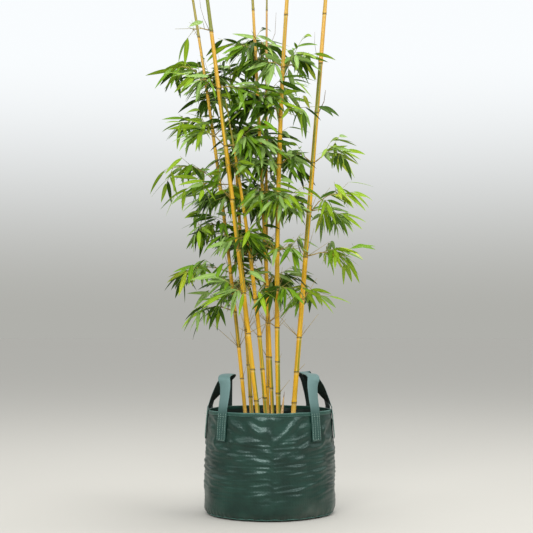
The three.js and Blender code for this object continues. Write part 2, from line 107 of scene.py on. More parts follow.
# Making meshes
def makePiece(name, points, faces, materials, faceSlots=None, cornerUv=None, attributes=None, smooth=True):
    mesh = bpy.data.meshes.new(name)
    mesh.from_pydata([tuple(p) for p in np.asarray(points, float) / 1000], [], [tuple(f) for f in faces])
    for material in materials:
        mesh.materials.append(material)
    if faceSlots is not None:
        mesh.polygons.foreach_set("material_index", np.asarray(faceSlots, np.int32))
    if cornerUv is not None:
        layer = mesh.uv_layers.new(name="place")
        layer.data.foreach_set("uv", np.asarray(cornerUv, np.float32).ravel())
    for key, values in (attributes or {}).items():
        values = np.asarray(values, np.float32)
        kind, field = ("FLOAT_VECTOR", "vector") if values.ndim == 2 else ("FLOAT", "value")
        mesh.attributes.new(key, kind, "POINT").data.foreach_set(field, values.ravel())
    mesh.polygons.foreach_set("use_smooth", [smooth] * len(mesh.polygons))
    mesh.update()
    piece = bpy.data.objects.new(name, mesh)
    bpy.context.scene.collection.objects.link(piece)
    return piece


def gridFaces(rows, columns, closed=False):  # quads round a tube of rows, and each corner's row and column
    row, column = np.meshgrid(np.arange(rows - 1), np.arange(columns), indexing="ij")
    row, column = row.ravel(), column.ravel()
    corners = [(row, column), (row, column + 1), (row + 1, column + 1), (row + 1, column)]
    faces = np.stack([r * columns + c % columns for r, c in corners], 1).tolist()
    places = np.stack([np.stack(corner, 1) for corner in corners], 1)
    if closed:
        last = (rows - 1) * columns
        faces += [list(range(columns))[::-1], list(range(last, last + columns))]
    return faces, places.reshape(-1, 2)


class Pile:  # many small forms that end up in one mesh
    def __init__(self):
        self.points, self.faces, self.slots, self.uv = [], [], [], []
        self.count = 0

    def add(self, points, faces, slot=0, uv=()):
        self.points.append(np.asarray(points, float))
        self.faces.extend([tuple(i + self.count for i in face) for face in faces])
        self.slots.extend([slot] * len(faces))
        self.uv.extend(uv)
        self.count += len(points)

    def piece(self, name, materials):
        uv = self.uv or None
        return makePiece(name, np.concatenate(self.points), self.faces, materials, self.slots, uv)


def tube(pile, line, radii, sides, slot=0):  # a round twig or thread along a line, closed at both ends
    line = np.asarray(line, float)
    ahead = unit(np.gradient(line, axis=0))
    guide = np.array([0.0, 0.0, 1.0]) if abs(ahead[0][2]) < 0.9 else np.array([1.0, 0.0, 0.0])
    side = unit(np.cross(ahead, guide))
    up = np.cross(side, ahead)
    turn = roundTurn(sides)
    rings = side[:, None] * np.cos(turn)[None, :, None] + up[:, None] * np.sin(turn)[None, :, None]
    points = (line[:, None] + rings * np.asarray(radii, float)[:, None, None]).reshape(-1, 3)
    pile.add(points, gridFaces(len(line), sides, True)[0], slot)


# Making materials
def linear(hexText):
    channels = [int(hexText[i:i + 2], 16) / 255 for i in (1, 3, 5)]
    return tuple(c / 12.92 if c <= 0.04045 else ((c + 0.055) / 1.055) ** 2.4 for c in channels) + (1.0,)


def setInputs(node, inputs):  # each a value of the node's own, or a link from another node's output
    for key, value in inputs.items():
        if isinstance(value, bpy.types.NodeSocket):
            node.id_data.links.new(value, node.inputs[key])
        else:
            node.inputs[key].default_value = value


def addNode(tree, kind, inputs=None, settings=None, out=0):
    node = tree.nodes.new("ShaderNode" + kind)
    for key, value in (settings or {}).items():
        setattr(node, key, value)
    setInputs(node, inputs or {})
    return node.outputs[out]


def newMaterial(name, sockets):
    material = bpy.data.materials.new(name)
    material.use_nodes = True
    shader = material.node_tree.nodes["Principled BSDF"]
    setInputs(shader, sockets)
    return material, material.node_tree, shader


mixColour, mixA, mixB, mixOut = {"data_type": "RGBA"}, 6, 7, 2  # the Mix node's sockets when it mixes colours
multiply = {"operation": "MULTIPLY"}

# Planter bag, the part's own sizes
bagSet = {
    "height": 355, "rimRadius": 211, "bellyRadius": 224, "bellyHeight": 106, "footRadius": 203,
    "footRound": 30, "footTaper": 1.5, "weltRadius": 213, "weltHeight": 5, "wall": 2.4, "hemHeight": 13,
    "hemThickness": 1.2, "soilTop": 310, "clear": 0.3, "columns": 320, "rowStep": 3.2, "underHem": 4,
    "innerStep": 5, "underSoil": 6, "innerGap": 1, "innerSlack": 0.8,
}
soilTop = bagSet["soilTop"]
lobes = ((3, 0.009, 0.6), (5, 0.006, 2.1))  # waves, share of the radius, phase


def bagRadius(z):
    b = bagSet
    if z >= b["bellyHeight"]:
        share = (z - b["bellyHeight"]) / (b["height"] - b["bellyHeight"])
        return b["bellyRadius"] - (b["bellyRadius"] - b["rimRadius"]) * share ** 2
    if z >= b["footRound"]:
        return b["bellyRadius"] - b["footTaper"] * ((b["bellyHeight"] - z) / b["bellyHeight"]) ** 2
    curve = math.sqrt(max(0, 1 - (1 - z / b["footRound"]) ** 2))
    return b["footRadius"] + (bagRadius(b["footRound"]) - b["footRadius"]) * curve


def bagLobe(angle):
    return 1 + sum(share * np.sin(waves * angle + phase) for waves, share, phase in lobes)


def columnWidth(columns):  # a column's width round the belly, in metres
    return 2 * math.pi * bagSet["bellyRadius"] / columns / 1000


# How the cloth lies: flat folds round the middle, slack folds that hang in a V from the loops, broad dents,
# gathers at the foot and a seam at the front. Each kind rises and falls off over its own two stretches of
# height.
foldSet = {
    "flatLong": 70, "flatHigh": 9, "flatDepth": 5.0, "flatSlope": 0.09, "flatRise": (18, 60),
    "flatFall": (225, 290), "flatLow": 0.3, "flatFull": (50, 120), "slackLong": 50, "slackHigh": 23,
    "slackDepth": 7.2, "slackSlope": 0.42, "slackRise": (185, 235), "slackFall": (328, 344), "drift": 12,
    "driftLong": 150, "driftHigh": 240, "dentSize": 78, "dentDepth": 6.0, "dentRise": (6, 26),
    "dentFall": (330, 343), "seamAngle": -88, "seamWidth": 2.4, "seamDepth": 0.7, "seamShift": 0.7,
    "shiftWidth": 5, "gathers": 58, "gatherSway": (3, 5), "gatherDepth": 1.1, "gatherRise": (0, 6),
    "gatherFall": (8, 34), "deepest": 3, "heldWide": (42, 30), "heldHigh": (-20, -6), "heldOut": 0.6,
}


def clothFold(angle, z):  # how far the cloth stands out from the bag's round form
    f, belly = foldSet, bagSet["bellyRadius"]
    x, y = math.cos(angle) * belly, math.sin(angle) * belly
    fromSeam = angle - math.radians(f["seamAngle"])
    off = math.sin(fromSeam) * belly
    shift = f["seamShift"] * math.tanh(off / f["shiftWidth"])  # the seam parts the folds on its two sides
    drift = f["drift"] * rough(x / f["driftLong"], y / f["driftLong"], z / f["driftHigh"])
    level = (z + drift - f["flatSlope"] * abs(off)) / f["flatHigh"] + shift
    flat = rough(x / f["flatLong"], y / f["flatLong"], level) * within(z, f["flatRise"], f["flatFall"])
    flat *= f["flatLow"] + (1 - f["flatLow"]) * smoothStep(*f["flatFull"], z)
    slant = (z - f["slackSlope"] * abs(off)) / f["slackHigh"] + shift
    slack = rough(x / f["slackLong"] + 7, y / f["slackLong"], slant)
    slack *= within(z, f["slackRise"], f["slackFall"])
    fade = within(z, f["dentRise"], f["dentFall"])
    dent = rough(x / f["dentSize"], y / f["dentSize"], z / f["dentSize"] + 4) * fade
    push = f["flatDepth"] * flat + f["slackDepth"] * slack + f["dentDepth"] * dent
    if push < 0:  # the potting mix stops the cloth
        push = -f["deepest"] * math.tanh(-push / f["deepest"])
    for way in loops.values():  # the straps' sewn ends hold the cloth back
        for degrees in (way["patch"], way["side"]):
            held = smoothStep(*f["heldWide"], abs(wrapped(angle - math.radians(degrees - 90))) * belly)
            held *= smoothStep(*f["heldHigh"], z - bagSet["height"] + loopSet["patchLength"])
            push += held * (min(f["heldOut"], max(-f["heldOut"], push)) - push)
    sway, waves = f["gatherSway"]
    gather = math.sin(angle * f["gathers"] + sway * math.sin(angle * waves))
    gather *= within(z, f["gatherRise"], f["gatherFall"])
    seam = math.exp(-(wrapped(fromSeam) * belly / f["seamWidth"]) ** 2) * fade
    return push + f["gatherDepth"] * gather + f["seamDepth"] * seam


# Dust on the cloth: grit splashed up low on the right, a little on the flanks and the foot, and a slanting
# smear. Places and widths are in degrees round the bag and in height.
dustSet = {
    "splash": 0.5, "splashAt": -50, "splashWide": 17, "splashFade": (80, 22), "flanks": 0.06,
    "flankTurn": (0.8, 1.0), "flankFade": (330, 240), "foot": 0.2, "footFade": (30, 6), "smear": 0.5,
    "smearAt": (-163, 262), "smearWide": (7, 26), "smearSlant": 2.4, "grain": 22, "least": 0.1, "most": 1.3,
}


def dustAt(points):
    d = dustSet
    x, y, z = points.T
    side = np.degrees(np.arctan2(y, x))
    dust = np.exp(-((side - d["splashAt"]) / d["splashWide"]) ** 2)
    dust *= d["splash"] * smoothStep(*d["splashFade"], z)
    turned = np.abs(np.cos(np.radians(side)))
    dust += d["flanks"] * smoothStep(*d["flankTurn"], turned) * smoothStep(*d["flankFade"], z)
    dust += d["foot"] * smoothStep(*d["footFade"], z)
    off, up = side - d["smearAt"][0], z - d["smearAt"][1]
    wide, high = d["smearWide"]
    dust += d["smear"] * np.exp(-(off / wide) ** 2 - ((up + off * d["smearSlant"]) / high) ** 2)
    fine = np.array([0.5 + 0.5 * rough(*p) for p in points / d["grain"]])
    return np.clip(dust * (d["least"] + d["most"] * fine), 0, 1)


def makeBag(materials):
    b, angles = bagSet, roundTurn(bagSet["columns"])
    lobe = bagLobe(angles)
    hemFoot = b["height"] - b["hemHeight"] + b["underHem"]
    rows = [(max(0.01, share * b["footRadius"]) * lobe, 0.0) for share in (0, 0.5, 1)]  # the flat underside
    for z in np.arange(1.0, hemFoot, b["rowStep"]):
        rows.append((bagRadius(z) * lobe + [clothFold(a, z) for a in angles], z))
    outerFaces = (len(rows) - 1) * len(angles)
    for z in np.arange(hemFoot, soilTop - b["underSoil"], -b["innerStep"]):  # over the rim and down inside
        slack = np.array([b["innerSlack"] * rough(math.cos(a) * 4, math.sin(a) * 4, z / 30) for a in angles])
        slack += [min(0, clothFold(a, z)) for a in angles]
        rows.append(((bagRadius(z) - b["wall"]) * lobe - b["innerGap"] + slack, z))
    points = np.concatenate([ringOf(angles, radius, z) for radius, z in rows])
    faces, places = gridFaces(len(rows), len(angles))
    slots = [int(i >= outerFaces) for i in range(len(faces))]
    heights = np.array([z for _, z in rows])
    uv = np.stack([places[:, 1] * columnWidth(len(angles)), heights[places[:, 0]] / 1000], 1)
    return makePiece("bagShell", points, faces, materials, slots, uv, {"dust": dustAt(points)})


# The bag's hem and the sewn edge of its base are closed bands, with a lighter edge where light catches them
hemSet = {
    "inward": 1.4, "swayOut": 1.1, "swayUp": 1.0, "swayWaves": 2.2, "swayShift": 1.7, "columns": 240,
    "rowUv": 0.004, "stitchDrop": 10.5, "stitchLength": 5.6, "stitchGap": 2.6, "threadRadius": 0.7,
}
weltSet = {
    "proud": 3, "deep": 8, "waves": 5, "wave": 1.3, "ripples": 31, "rippleSway": (4, 3), "rippleOut": 1.6,
    "rippleUp": 0.9, "lift": 1.4,
}


def makeBand(name, profile, sway, lit, materials):  # from its section, how it sways and which strips are lit
    angles = roundTurn(hemSet["columns"])
    shift = np.array([sway(a) for a in angles])
    rings = [ringOf(angles, (bagRadius(z) + out) * bagLobe(angles) + shift[:, 0], z + shift[:, 1])
             for out, z in profile + profile[:1]]
    faces, places = gridFaces(len(rings), len(angles))
    uv = np.stack([places[:, 1] * columnWidth(len(angles)), places[:, 0] * hemSet["rowUv"]], 1)
    slots = [int(i // len(angles) in lit) for i in range(len(faces))]
    return makePiece(name, np.concatenate(rings), faces, materials, slots, uv)


def rimSway(angle):  # the rim isn't quite level or round
    h = hemSet
    turn = np.array([math.cos(angle) * h["swayWaves"], math.sin(angle) * h["swayWaves"], 3])
    return h["swayOut"] * rough(*turn), h["swayUp"] * rough(*turn * h["swayShift"])


def weltSway(angle):  # the load has pressed the base's edge into waves
    w = weltSet
    wave = rough(math.cos(angle) * w["waves"], math.sin(angle) * w["waves"], 8)
    ripple = math.sin(angle * w["ripples"] + w["rippleSway"][0] * math.sin(angle * w["rippleSway"][1]))
    return w["rippleOut"] * ripple, w["wave"] * wave + w["rippleUp"] * ripple + w["lift"]


def makeHem(materials):
    top, foot = bagSet["height"], bagSet["height"] - bagSet["hemHeight"]
    proud, inner = bagSet["hemThickness"], -bagSet["wall"] - hemSet["inward"]
    profile = [(inner, top - 1.8), (inner + 1.2, top), (proud - 0.9, top - 0.2), (proud + 0.4, top - 1.8),
               (proud + 0.5, top - 5), (proud + 0.1, foot + 4.5), (proud + 0.3, foot + 1.5),
               (proud - 0.6, foot - 0.2), (inner + 1, foot), (inner, foot + 2)]
    return makeBand("rimHem", profile, rimSway, (1, 2), materials)


def makeWelt(materials):
    out = bagSet["weltRadius"] - bagRadius(bagSet["weltHeight"]) + weltSet["proud"]
    inner = out - weltSet["deep"]
    profile = [(inner, 2.2), (out, 2.0), (out + 1.6, 3.6), (out + 1.5, 5.2), (out, 6.4), (inner, 7)]
    return makeBand("baseWelt", profile, weltSway, (2, 3), materials)


# A stitch dives into the cloth at its ends. Its lift and thickness, by the thread's radius, are given at
# shares of its length.
stitchSet = {"at": (0, 0.25, 0.75, 1), "lift": (-0.18, 0.6, 0.6, -0.18), "thick": (0.5, 1, 1, 0.5),
             "sides": 5}


def stitchesAlong(pile, line, outward, s):  # end to end along a line
    length, gap, radius = s["stitchLength"], s["stitchGap"], s["threadRadius"]
    share, lift, thick = (np.array(stitchSet[key]) for key in ("at", "lift", "thick"))
    reach = reachAlong(line)
    for i in range(max(1, int(reach[-1] // (length + gap)))):
        at = i * (length + gap) + gap / 2 + length * share
        place = pointsAt(at, reach, line) + pointsAt(at, reach, outward) * (lift * radius)[:, None]
        tube(pile, place, thick * radius, stitchSet["sides"])


def makeHemStitches(thread):
    angles = np.linspace(0, 2 * math.pi, 361)
    sway = np.array([rimSway(a) for a in angles])
    z = bagSet["height"] - hemSet["stitchDrop"]
    radius = (bagRadius(z) + bagSet["hemThickness"] + bagSet["clear"]) * bagLobe(angles) + sway[:, 0]
    pile = Pile()
    stitchesAlong(pile, ringOf(angles, radius, z + sway[:, 1]), ringOf(angles, 1, 0), hemSet)
    return pile.piece("hemStitches", [thread])


# Lifting loops, on the solids' own line
loopSet = {
    "width": 44, "thickness": 2.4, "solidThickness": 2.6, "patchLength": 98, "upright": 8, "patchSteps": 10,
    "steps": 60, "middle": 0.86, "edge": ((0.45, 0.94), (0.93, 1), (0.985, 0.8), (1, 0)),  # half its section
    "curl": 2.2, "crumple": 1.1, "crumpleSize": 28, "freeSteps": (0, 8), "fade": (-20, 45), "rowShare": 0.9,
    "rows": (-17.5, -6.5, 6.5, 17.5), "rowEnds": (5, 84), "stitchLength": 5.2, "stitchGap": 2.2,
    "threadRadius": 0.75,
}
# Each strap's two feet in degrees from the front round to the right, its height, how far it leans in over
# the bag, and where along its way it crosses, peaks, tilts outwards and turns over
loopKeys = (
    "patch", "side", "rise", "lean", "leanPower", "crossing", "skew", "fullness", "sideTilt", "tiltTurn",
    "twistPower", "lateTwist", "latePower",
)
frontLoop = (125, 16, 0.74, 1.33, 0.99, 0.9, 0.6, (0.3, 0.63), 1.9, 0.06, 14)
loops = {name: dict(zip(loopKeys, row)) for name, row in {
    "front_right": (46.6, 86) + frontLoop,
    "front_left": (-46.6, -86) + frontLoop,
    "back_right": (136, 107.6, 123.5, 51, 1.41, 1.19, 0.78, 0.88, 0.48, (0.21, 0.5), 0.64, 0.14, 8.5),
    "back_left": (-136.9, -107, 109, 48, 1.6, 0.6, 0.6, 0.55, 0.39, (0.43, 0.94), 1.05, 0.06, 3),
}.items()}


def easeInOut(t):
    return t * t * t * (t * (t * 6 - 15) + 10)


def loopStations(way):  # along the strap: its middle, its way across and its outer side
    s, steps = loopSet, loopSet["patchSteps"]
    patch, side = way["patch"], way["side"]
    stand = bagSet["hemThickness"] + bagSet["clear"] + s["solidThickness"] / 2
    turn = 1 if side > patch else -1
    foot, straight = bagSet["height"] - s["patchLength"], bagSet["height"] + s["upright"]
    upright = [foot + (straight - foot) * i / steps for i in range(steps + 1)]
    marks = [(patch, height, 0, 0) for height in upright]  # degrees, height, inward, twist
    for i in range(1, s["steps"]):
        share = i / s["steps"]
        across = easeInOut(share ** way["crossing"])
        up = math.sin(math.pi * share ** way["skew"]) ** way["fullness"]
        height = straight + (way["rise"] - s["upright"]) * up
        tilted = smoothStep(*way["tiltTurn"], share)
        inward = way["lean"] * math.sin(math.pi * share) ** way["leanPower"] * (1 - tilted)
        inward += way["sideTilt"] * (height - straight) * tilted
        late = way["lateTwist"]
        twist = math.pi * ((1 - late) * share ** way["twistPower"] + late * share ** way["latePower"])
        marks.append((patch + (side - patch) * across, height, inward, twist))
    marks += [(side, height, 0, math.pi) for height in upright[::-1]]
    places, wides = [], []
    for degrees, height, inward, twist in marks:
        out = np.array([math.sin(math.radians(degrees)), -math.cos(math.radians(degrees)), 0])
        along = np.array([-out[1], out[0], 0]) * turn
        wall = bagRadius(min(height, bagSet["height"])) * bagLobe(math.atan2(out[1], out[0]))
        places.append(out * (wall + stand - inward) + (0, 0, height))
        wides.append(along * math.cos(twist) + out * math.sin(twist))
    places, wides = np.array(places), np.array(wides)
    tangent = unit(np.gradient(places, axis=0))
    wides = unit(wides - tangent * np.sum(wides * tangent, axis=1)[:, None])
    return places, wides, np.cross(tangent, wides) * -turn


def makeLoop(name, clothes, thread):
    s, steps = loopSet, loopSet["patchSteps"]
    places, wides, outer = loopStations(loops[name])
    half, thick = s["width"] / 2, s["thickness"] / 2
    upper = [(-w, t) for w, t in s["edge"][::-1]] + [(0, s["middle"])] + list(s["edge"])
    section = upper + [(w, -t) for w, t in upper[-2:0:-1]]
    rows = []
    for i, (place, wide, out) in enumerate(zip(places, wides, outer)):
        free = smoothStep(*s["freeSteps"], i - steps)
        free *= smoothStep(*s["freeSteps"], len(places) - 1 - steps - i)
        bent = s["crumple"] * rough(*place / s["crumpleSize"])
        for w, t in section:  # the free part cups a little towards its inner side
            rows.append(place + wide * w * half + out * (t * thick + free * (bent - s["curl"] * w * w)))
    faces, corners = gridFaces(len(places), len(section), True)
    # the strap's inner half takes the second cloth, painted near black as shade
    slots = [int(i % len(section) >= len(upper) - 1) for i in range(len(faces) - 2)] + [0, 0]
    if loops[name]["side"] < loops[name]["patch"]:
        faces = [face[::-1] for face in faces]
        corners = corners.reshape(-1, 4, 2)[:, ::-1].reshape(-1, 2)
    acrossMm = np.array([w * half for w, _ in section] + [-half])
    uv = np.stack([acrossMm[corners[:, 1]] / 1000, reachAlong(places)[corners[:, 0]] / 1000], 1).tolist()
    uv += [(0.0, 0.0)] * (2 * len(section))
    # the strap's free part, from just below the rim up, is painted lighter as the sky light it catches
    height = np.repeat(places[:, 2], len(section)) - bagSet["height"]
    paintedSkyLight = {"paintedSkyLight": smoothStep(*s["fade"], height)}
    strap = makePiece("strap_" + name, rows, faces, clothes, slots, uv, paintedSkyLight)
    pile = Pile()
    for way in (1, -1):
        place, wide, out = (values[::way][:steps + 1] for values in (places, wides, outer))
        skin = place + out * thick
        for w in s["rows"]:
            line = skin + wide * w
            line = line[0] + (line - line[0]) * s["rowShare"] + (0, 0, s["rowEnds"][0])
            stitchesAlong(pile, line, out, s)
        for up in s["rowEnds"]:
            ends = skin[0] + np.array([wide[0] * w + (0, 0, up) for w in s["rows"][::3]])
            stitchesAlong(pile, ends, np.repeat(out[:1], 2, axis=0), s)
    return strap, pile.piece("stitches_" + name, [thread])


# Potting mix: a rough bed of composted bark, with loose chips and pale grit on it. Each wave of the bed has a
# share, a size and the height in the noise at which it is taken.
soilSet = {"rings": 70, "columns": 180, "relief": 5, "gap": 2.2, "skirt": 14,
           "waves": ((0.7, 70, 1), (0.45, 14, 5), (0.3, 5, 9))}
chipSet = {
    "count": 1500, "seed": 41, "length": (3, 13), "small": 2.2, "wide": (0.4, 0.8), "thick": (1.4, 3.4),
    "uneven": (0.62, 1), "tilt": 0.12, "grit": 0.07, "gritSize": (3.0, 2.6, 2.2), "inside": 12,
    "feetRoom": 10,
}


def soilHeight(x, y):
    waves = sum(share * rough(x / size, y / size, layer) for share, size, layer in soilSet["waves"])
    return soilTop + soilSet["relief"] * waves


def makeSoil(mix):
    s, angles = soilSet, roundTurn(soilSet["columns"])
    reach = (bagRadius(soilTop) - bagSet["wall"] - s["gap"]) * bagLobe(angles)
    rings = [ringOf(angles, reach * share, 0) for share in np.linspace(0.002, 1, s["rings"])]
    for ring in rings:
        ring[:, 2] = [soilHeight(x, y) for x, y, _ in ring]
    rings.append(ringOf(angles, reach, soilTop - s["skirt"]))  # down inside the bag
    return makePiece("pottingBed", np.concatenate(rings), gridFaces(len(rings), s["columns"])[0], [mix])


def makeChips(materials, feet):
    s = chipSet
    rng = np.random.default_rng(s["seed"])
    corners = np.array([(x, y, z) for x in (-1, 1) for y in (-1, 1) for z in (-1, 1)], float)
    boxFaces = [(0, 1, 3, 2), (4, 6, 7, 5), (0, 4, 5, 1), (2, 3, 7, 6), (0, 2, 6, 4), (1, 5, 7, 3)]
    limit = bagRadius(soilTop) - bagSet["wall"] - s["inside"]
    pile = Pile()
    for _ in range(s["count"]):
        a, r = rng.uniform(0, 2 * math.pi), limit * math.sqrt(rng.uniform(0, 1))
        x, y = r * math.cos(a), r * math.sin(a)
        length = s["length"][0] + (s["length"][1] - s["length"][0]) * rng.uniform(0, 1) ** s["small"]
        if min(math.hypot(x - fx, y - fy) for fx, fy in feet) < s["feetRoom"] + length / 2:
            continue
        grit = rng.uniform() < s["grit"]
        size = s["gritSize"] if grit else (length, length * rng.uniform(*s["wide"]), rng.uniform(*s["thick"]))
        size = np.array(size) / 2
        spin = np.array(Euler(rng.uniform(0, 2 * math.pi, 3) * (s["tilt"], s["tilt"], 1)).to_matrix())
        shape = corners * size * rng.uniform(*s["uneven"], (8, 3))
        pile.add(shape @ spin.T + np.array([x, y, soilHeight(x, y) + size[2] * 0.5]), boxFaces,
                 3 if grit else int(rng.integers(0, 3)))
    return pile.piece("barkChips", materials)


# Culms: the source's own table and rule. A branch is (node, heading, reach, lift). "first" to "longest" set
# the internodes' lengths. Stripes and green sides, as (internode, degrees it faces, half its width in
# radians), and olive tops are by internode, as they show.
culmRule = {"leanHeight": 1460, "tipRadius": 1.1, "taperPower": 3, "ridge": 1.16, "ridgeHalf": 4,
            "endShare": 0.2, "endLength": 46, "sides": 28}
culmKeys = ("name", "foot", "lean", "sweep", "height", "diameter", "first", "shortest", "growth", "longest",
            "oliveFrom", "striped", "greenSides", "branches")
culms = [dict(zip(culmKeys, row)) for row in (
    ("left", (-80, 25), (-136, 45), (-50, 10), 2330, 13, 149, 109, 13, 178, 9, (2, 8), (),
     ((2, 200, 182, 30), (3, 186, 218, 30), (4, 176, 165, 50), (5, 182, 262, 60), (6, 182, 186, 75),
      (7, 176, 215, 86), (11, 150, 180, 60))),
    ("back_left", (-59, 40), (-95, 95), (0, 20), 1590, 14, 85, 110, 12, 175, 8, (1, 2), ((0, -80, 0.4),),
     ((3, 112, 200, 50), (5, 138, 210, 62), (6, 84, 195, 45), (8, 150, 170, 65))),
    ("front_left", (-35, -50), (-169, -50), (-9, -12), 2560, 16, 77, 107, 15, 195, 9, (1, 4, 5, 6, 7),
     ((0, -40, 0.6), (1, -35, 0.45), (5, -40, 0.6), (7, -45, 0.6), (9, -100, 0.9)),
     ((3, 240, 120, 35), (4, 278, 150, 70), (5, 212, 210, 60), (6, 206, 190, 62), (7, 228, 165, 45),
      (8, 188, 130, 25), (10, 215, 180, 60), (12, 20, 150, 65))),
    ("thin_front", (-9, -32), (-95, -28), (-120, -20), 1430, 15, 86, 98, 14, 165, 8, (0, 2),
     ((0, -90, 0.6), (1, -120, 0.4)), ((6, 252, 170, 60), (7, 300, 165, 50))),
    ("thin_back", (-3, 26), (-20, 52), (15, 26), 2180, 10.5, 120, 104, 14, 172, 10, (0, 1), (),
     ((3, 72, 200, 45), (5, 98, 215, 62), (7, 62, 205, 50), (8, 110, 180, 84), (11, 90, 150, 65))),
    ("middle", (13, -4), (-62, -10), (-8, -6), 2440, 12.5, 117, 107, 10, 176, 10, (0, 9),
     ((0, -50, 0.7), (1, -45, 0.85)),
     ((5, 272, 185, 55), (6, 262, 192, 62), (7, 288, 170, 68), (8, 246, 165, 72), (12, 250, 160, 65))),
    ("front_right", (33, -28), (-40, -42), (69, -14), 2640, 16, 101, 108, 9, 182, 11, (0, 1, 5, 9),
     ((0, -48, 0.8), (1, -45, 0.75), (2, -35, 0.55)),
     ((3, 300, 135, 32), (4, 330, 135, 30), (5, 288, 165, 58), (7, 350, 145, 75), (8, 4, 150, 80),
      (11, 330, 175, 60), (13, 190, 150, 65))),
    ("right", (81, -4), (116, 12), (0, 8), 2570, 17, 67, 106, 13, 175, 11, (3, 5, 7, 8),
     ((2, -60, 0.4), (6, -110, 0.4), (7, -110, 0.6), (8, -105, 0.95)),
     ((3, 62, 190, 50), (4, 350, 195, 28), (5, 346, 220, 68), (5, 34, 180, 20), (6, 6, 165, 65),
      (11, 340, 180, 60), (13, 60, 150, 65))),
)]
culmNamed = {culm["name"]: culm for culm in culms}


def culmAxis(culm, z):
    t = (z - soilTop) / culmRule["leanHeight"]
    x, y = (culm["foot"][k] + culm["lean"][k] * t + culm["sweep"][k] * t * t for k in (0, 1))
    return np.stack([x, y, z + 0 * t], -1)


def culmRadius(culm, z):
    share = np.clip((z - soilTop) / (culm["height"] - soilTop), 0, 1) ** culmRule["taperPower"]
    return culm["diameter"] / 2 + (culmRule["tipRadius"] - culm["diameter"] / 2) * share


def nodeHeights(culm):
    heights, z = [], soilTop + culm["first"]
    while z < culm["height"] - culmRule["endLength"]:
        room = culmRule["endShare"] * (culm["height"] - z) + culmRule["endLength"]
        heights.append(z)
        z += min(culm["shortest"] + culm["growth"] * (len(heights) - 1), culm["longest"], room)
    return heights


# A node's relief, from below it to above it: a sharp sheath scar, a fine groove and the rounded ridge over it
nodeRelief = (
    (-16, 1.0), (-11, 1.01), (-7, 1.02), (-4, 1.06), (-2.6, 1.16), (-1.4, 1.17), (-0.4, 1.06), (0.8, 1.06),
    (3, 1.14), (5.5, 1.13), (9, 1.05), (16, 1.01), (26, 1.0),
)
caneSet = {
    "rowStep": 30, "nodeRoom": 30, "rooted": 4, "fineFrom": 1900, "fineRelief": 0.6, "groove": 0.09,
    "grooveHalf": 26, "grooveEnd": (0.55, 0.95), "grooveGreen": 0.35, "ringRise": (-3.2, -1.6),
    "ringFall": (0.9, 2.5), "bloomRise": (-12, -7), "bloomFall": (-6, -4), "paleFoot": (76, 0),
    "stripes": 4, "stripeWidth": (0.10, 0.3), "olive": 0.75, "tanThin": 0.85, "tanThick": 0.4,
    "tanRise": (1200, 1700),
}


def makeCulm(culm, cane):
    s, angles = caneSet, roundTurn(culmRule["sides"])
    rng = np.random.default_rng(culm["height"])
    nodes = nodeHeights(culm)
    plain = np.arange(soilTop - s["rooted"], culm["height"], s["rowStep"])
    relief = {float(z): 1.0 for z in plain if min(abs(z - n) for n in nodes) > s["nodeRoom"]}
    for n in nodes:
        fade = 1 if n < s["fineFrom"] else s["fineRelief"]
        relief.update({n + dz: 1 + (factor - 1) * fade for dz, factor in nodeRelief})
    heights = sorted(h for h in relief if h < culm["height"] - 2)
    facing = {row[0]: math.radians(row[1]) for row in culm["branches"]}
    drift = rng.uniform(0, 2 * math.pi)
    sunned = s["tanThin"] if culm["name"].startswith("thin") else s["tanThick"]
    stripes = [[(rng.uniform(0, 2 * math.pi), rng.uniform(*s["stripeWidth"])) for _ in range(s["stripes"])]
               for _ in range(len(nodes) + 1)]
    for internode, at, wide in culm["greenSides"]:
        stripes[internode] = [(math.radians(at), wide)]
    striped = set(culm["striped"]) | {side[0] for side in culm["greenSides"]}
    points = []
    marks = {"cane": [], "ringDark": [], "bloom": [], "green": [], "paleFoot": [], "tan": []}
    for z in heights:
        below = sum(n <= z for n in nodes)  # which internode this is: 0 stands in the soil
        lower = nodes[below - 1] if below else soilTop
        upper = nodes[below] if below < len(nodes) else culm["height"]
        side = facing.get(below - 1, drift + math.pi * below)  # the groove runs up from a branch
        groove = np.exp(-(wrapped(angles - side) / math.radians(s["grooveHalf"])) ** 2) * (below > 1)
        groove *= 1 - smoothStep(*s["grooveEnd"], (z - lower) / (upper - lower))
        radius = culmRadius(culm, z) * relief[z] * (1 - s["groove"] * groove)
        points.append(ringOf(angles, radius, z, culmAxis(culm, z)))
        dz = z - min(nodes, key=lambda n: abs(n - z))
        streak = np.max([np.exp(-(wrapped(angles - at) / wide) ** 4) for at, wide in stripes[below]], axis=0)
        olive = s["olive"] if below >= culm["oliveFrom"] else 0
        marks["cane"].append(ringOf(angles, 1, z / 1000))
        marks["ringDark"].append(within(dz, s["ringRise"], s["ringFall"]) + 0 * angles)
        marks["bloom"].append(within(dz, s["bloomRise"], s["bloomFall"]) + 0 * angles)
        marks["green"].append(np.clip((below in striped) * streak + s["grooveGreen"] * groove + olive, 0, 1))
        marks["paleFoot"].append(smoothStep(*s["paleFoot"], z - soilTop) + 0 * angles)
        marks["tan"].append(sunned * smoothStep(*s["tanRise"], z) + 0 * angles)
    tip = len(heights) * len(angles)
    first = tip - len(angles)
    faces = gridFaces(len(heights), len(angles))[0]
    faces += [[first + i, first + (i + 1) % len(angles), tip] for i in range(len(angles))]
    marks = {key: np.concatenate(values + [values[-1][-1:]]) for key, values in marks.items()}
    points = np.vstack(points + [culmAxis(culm, culm["height"])])
    return makePiece("cane_" + culm["name"], points, faces, [cane], attributes=marks)


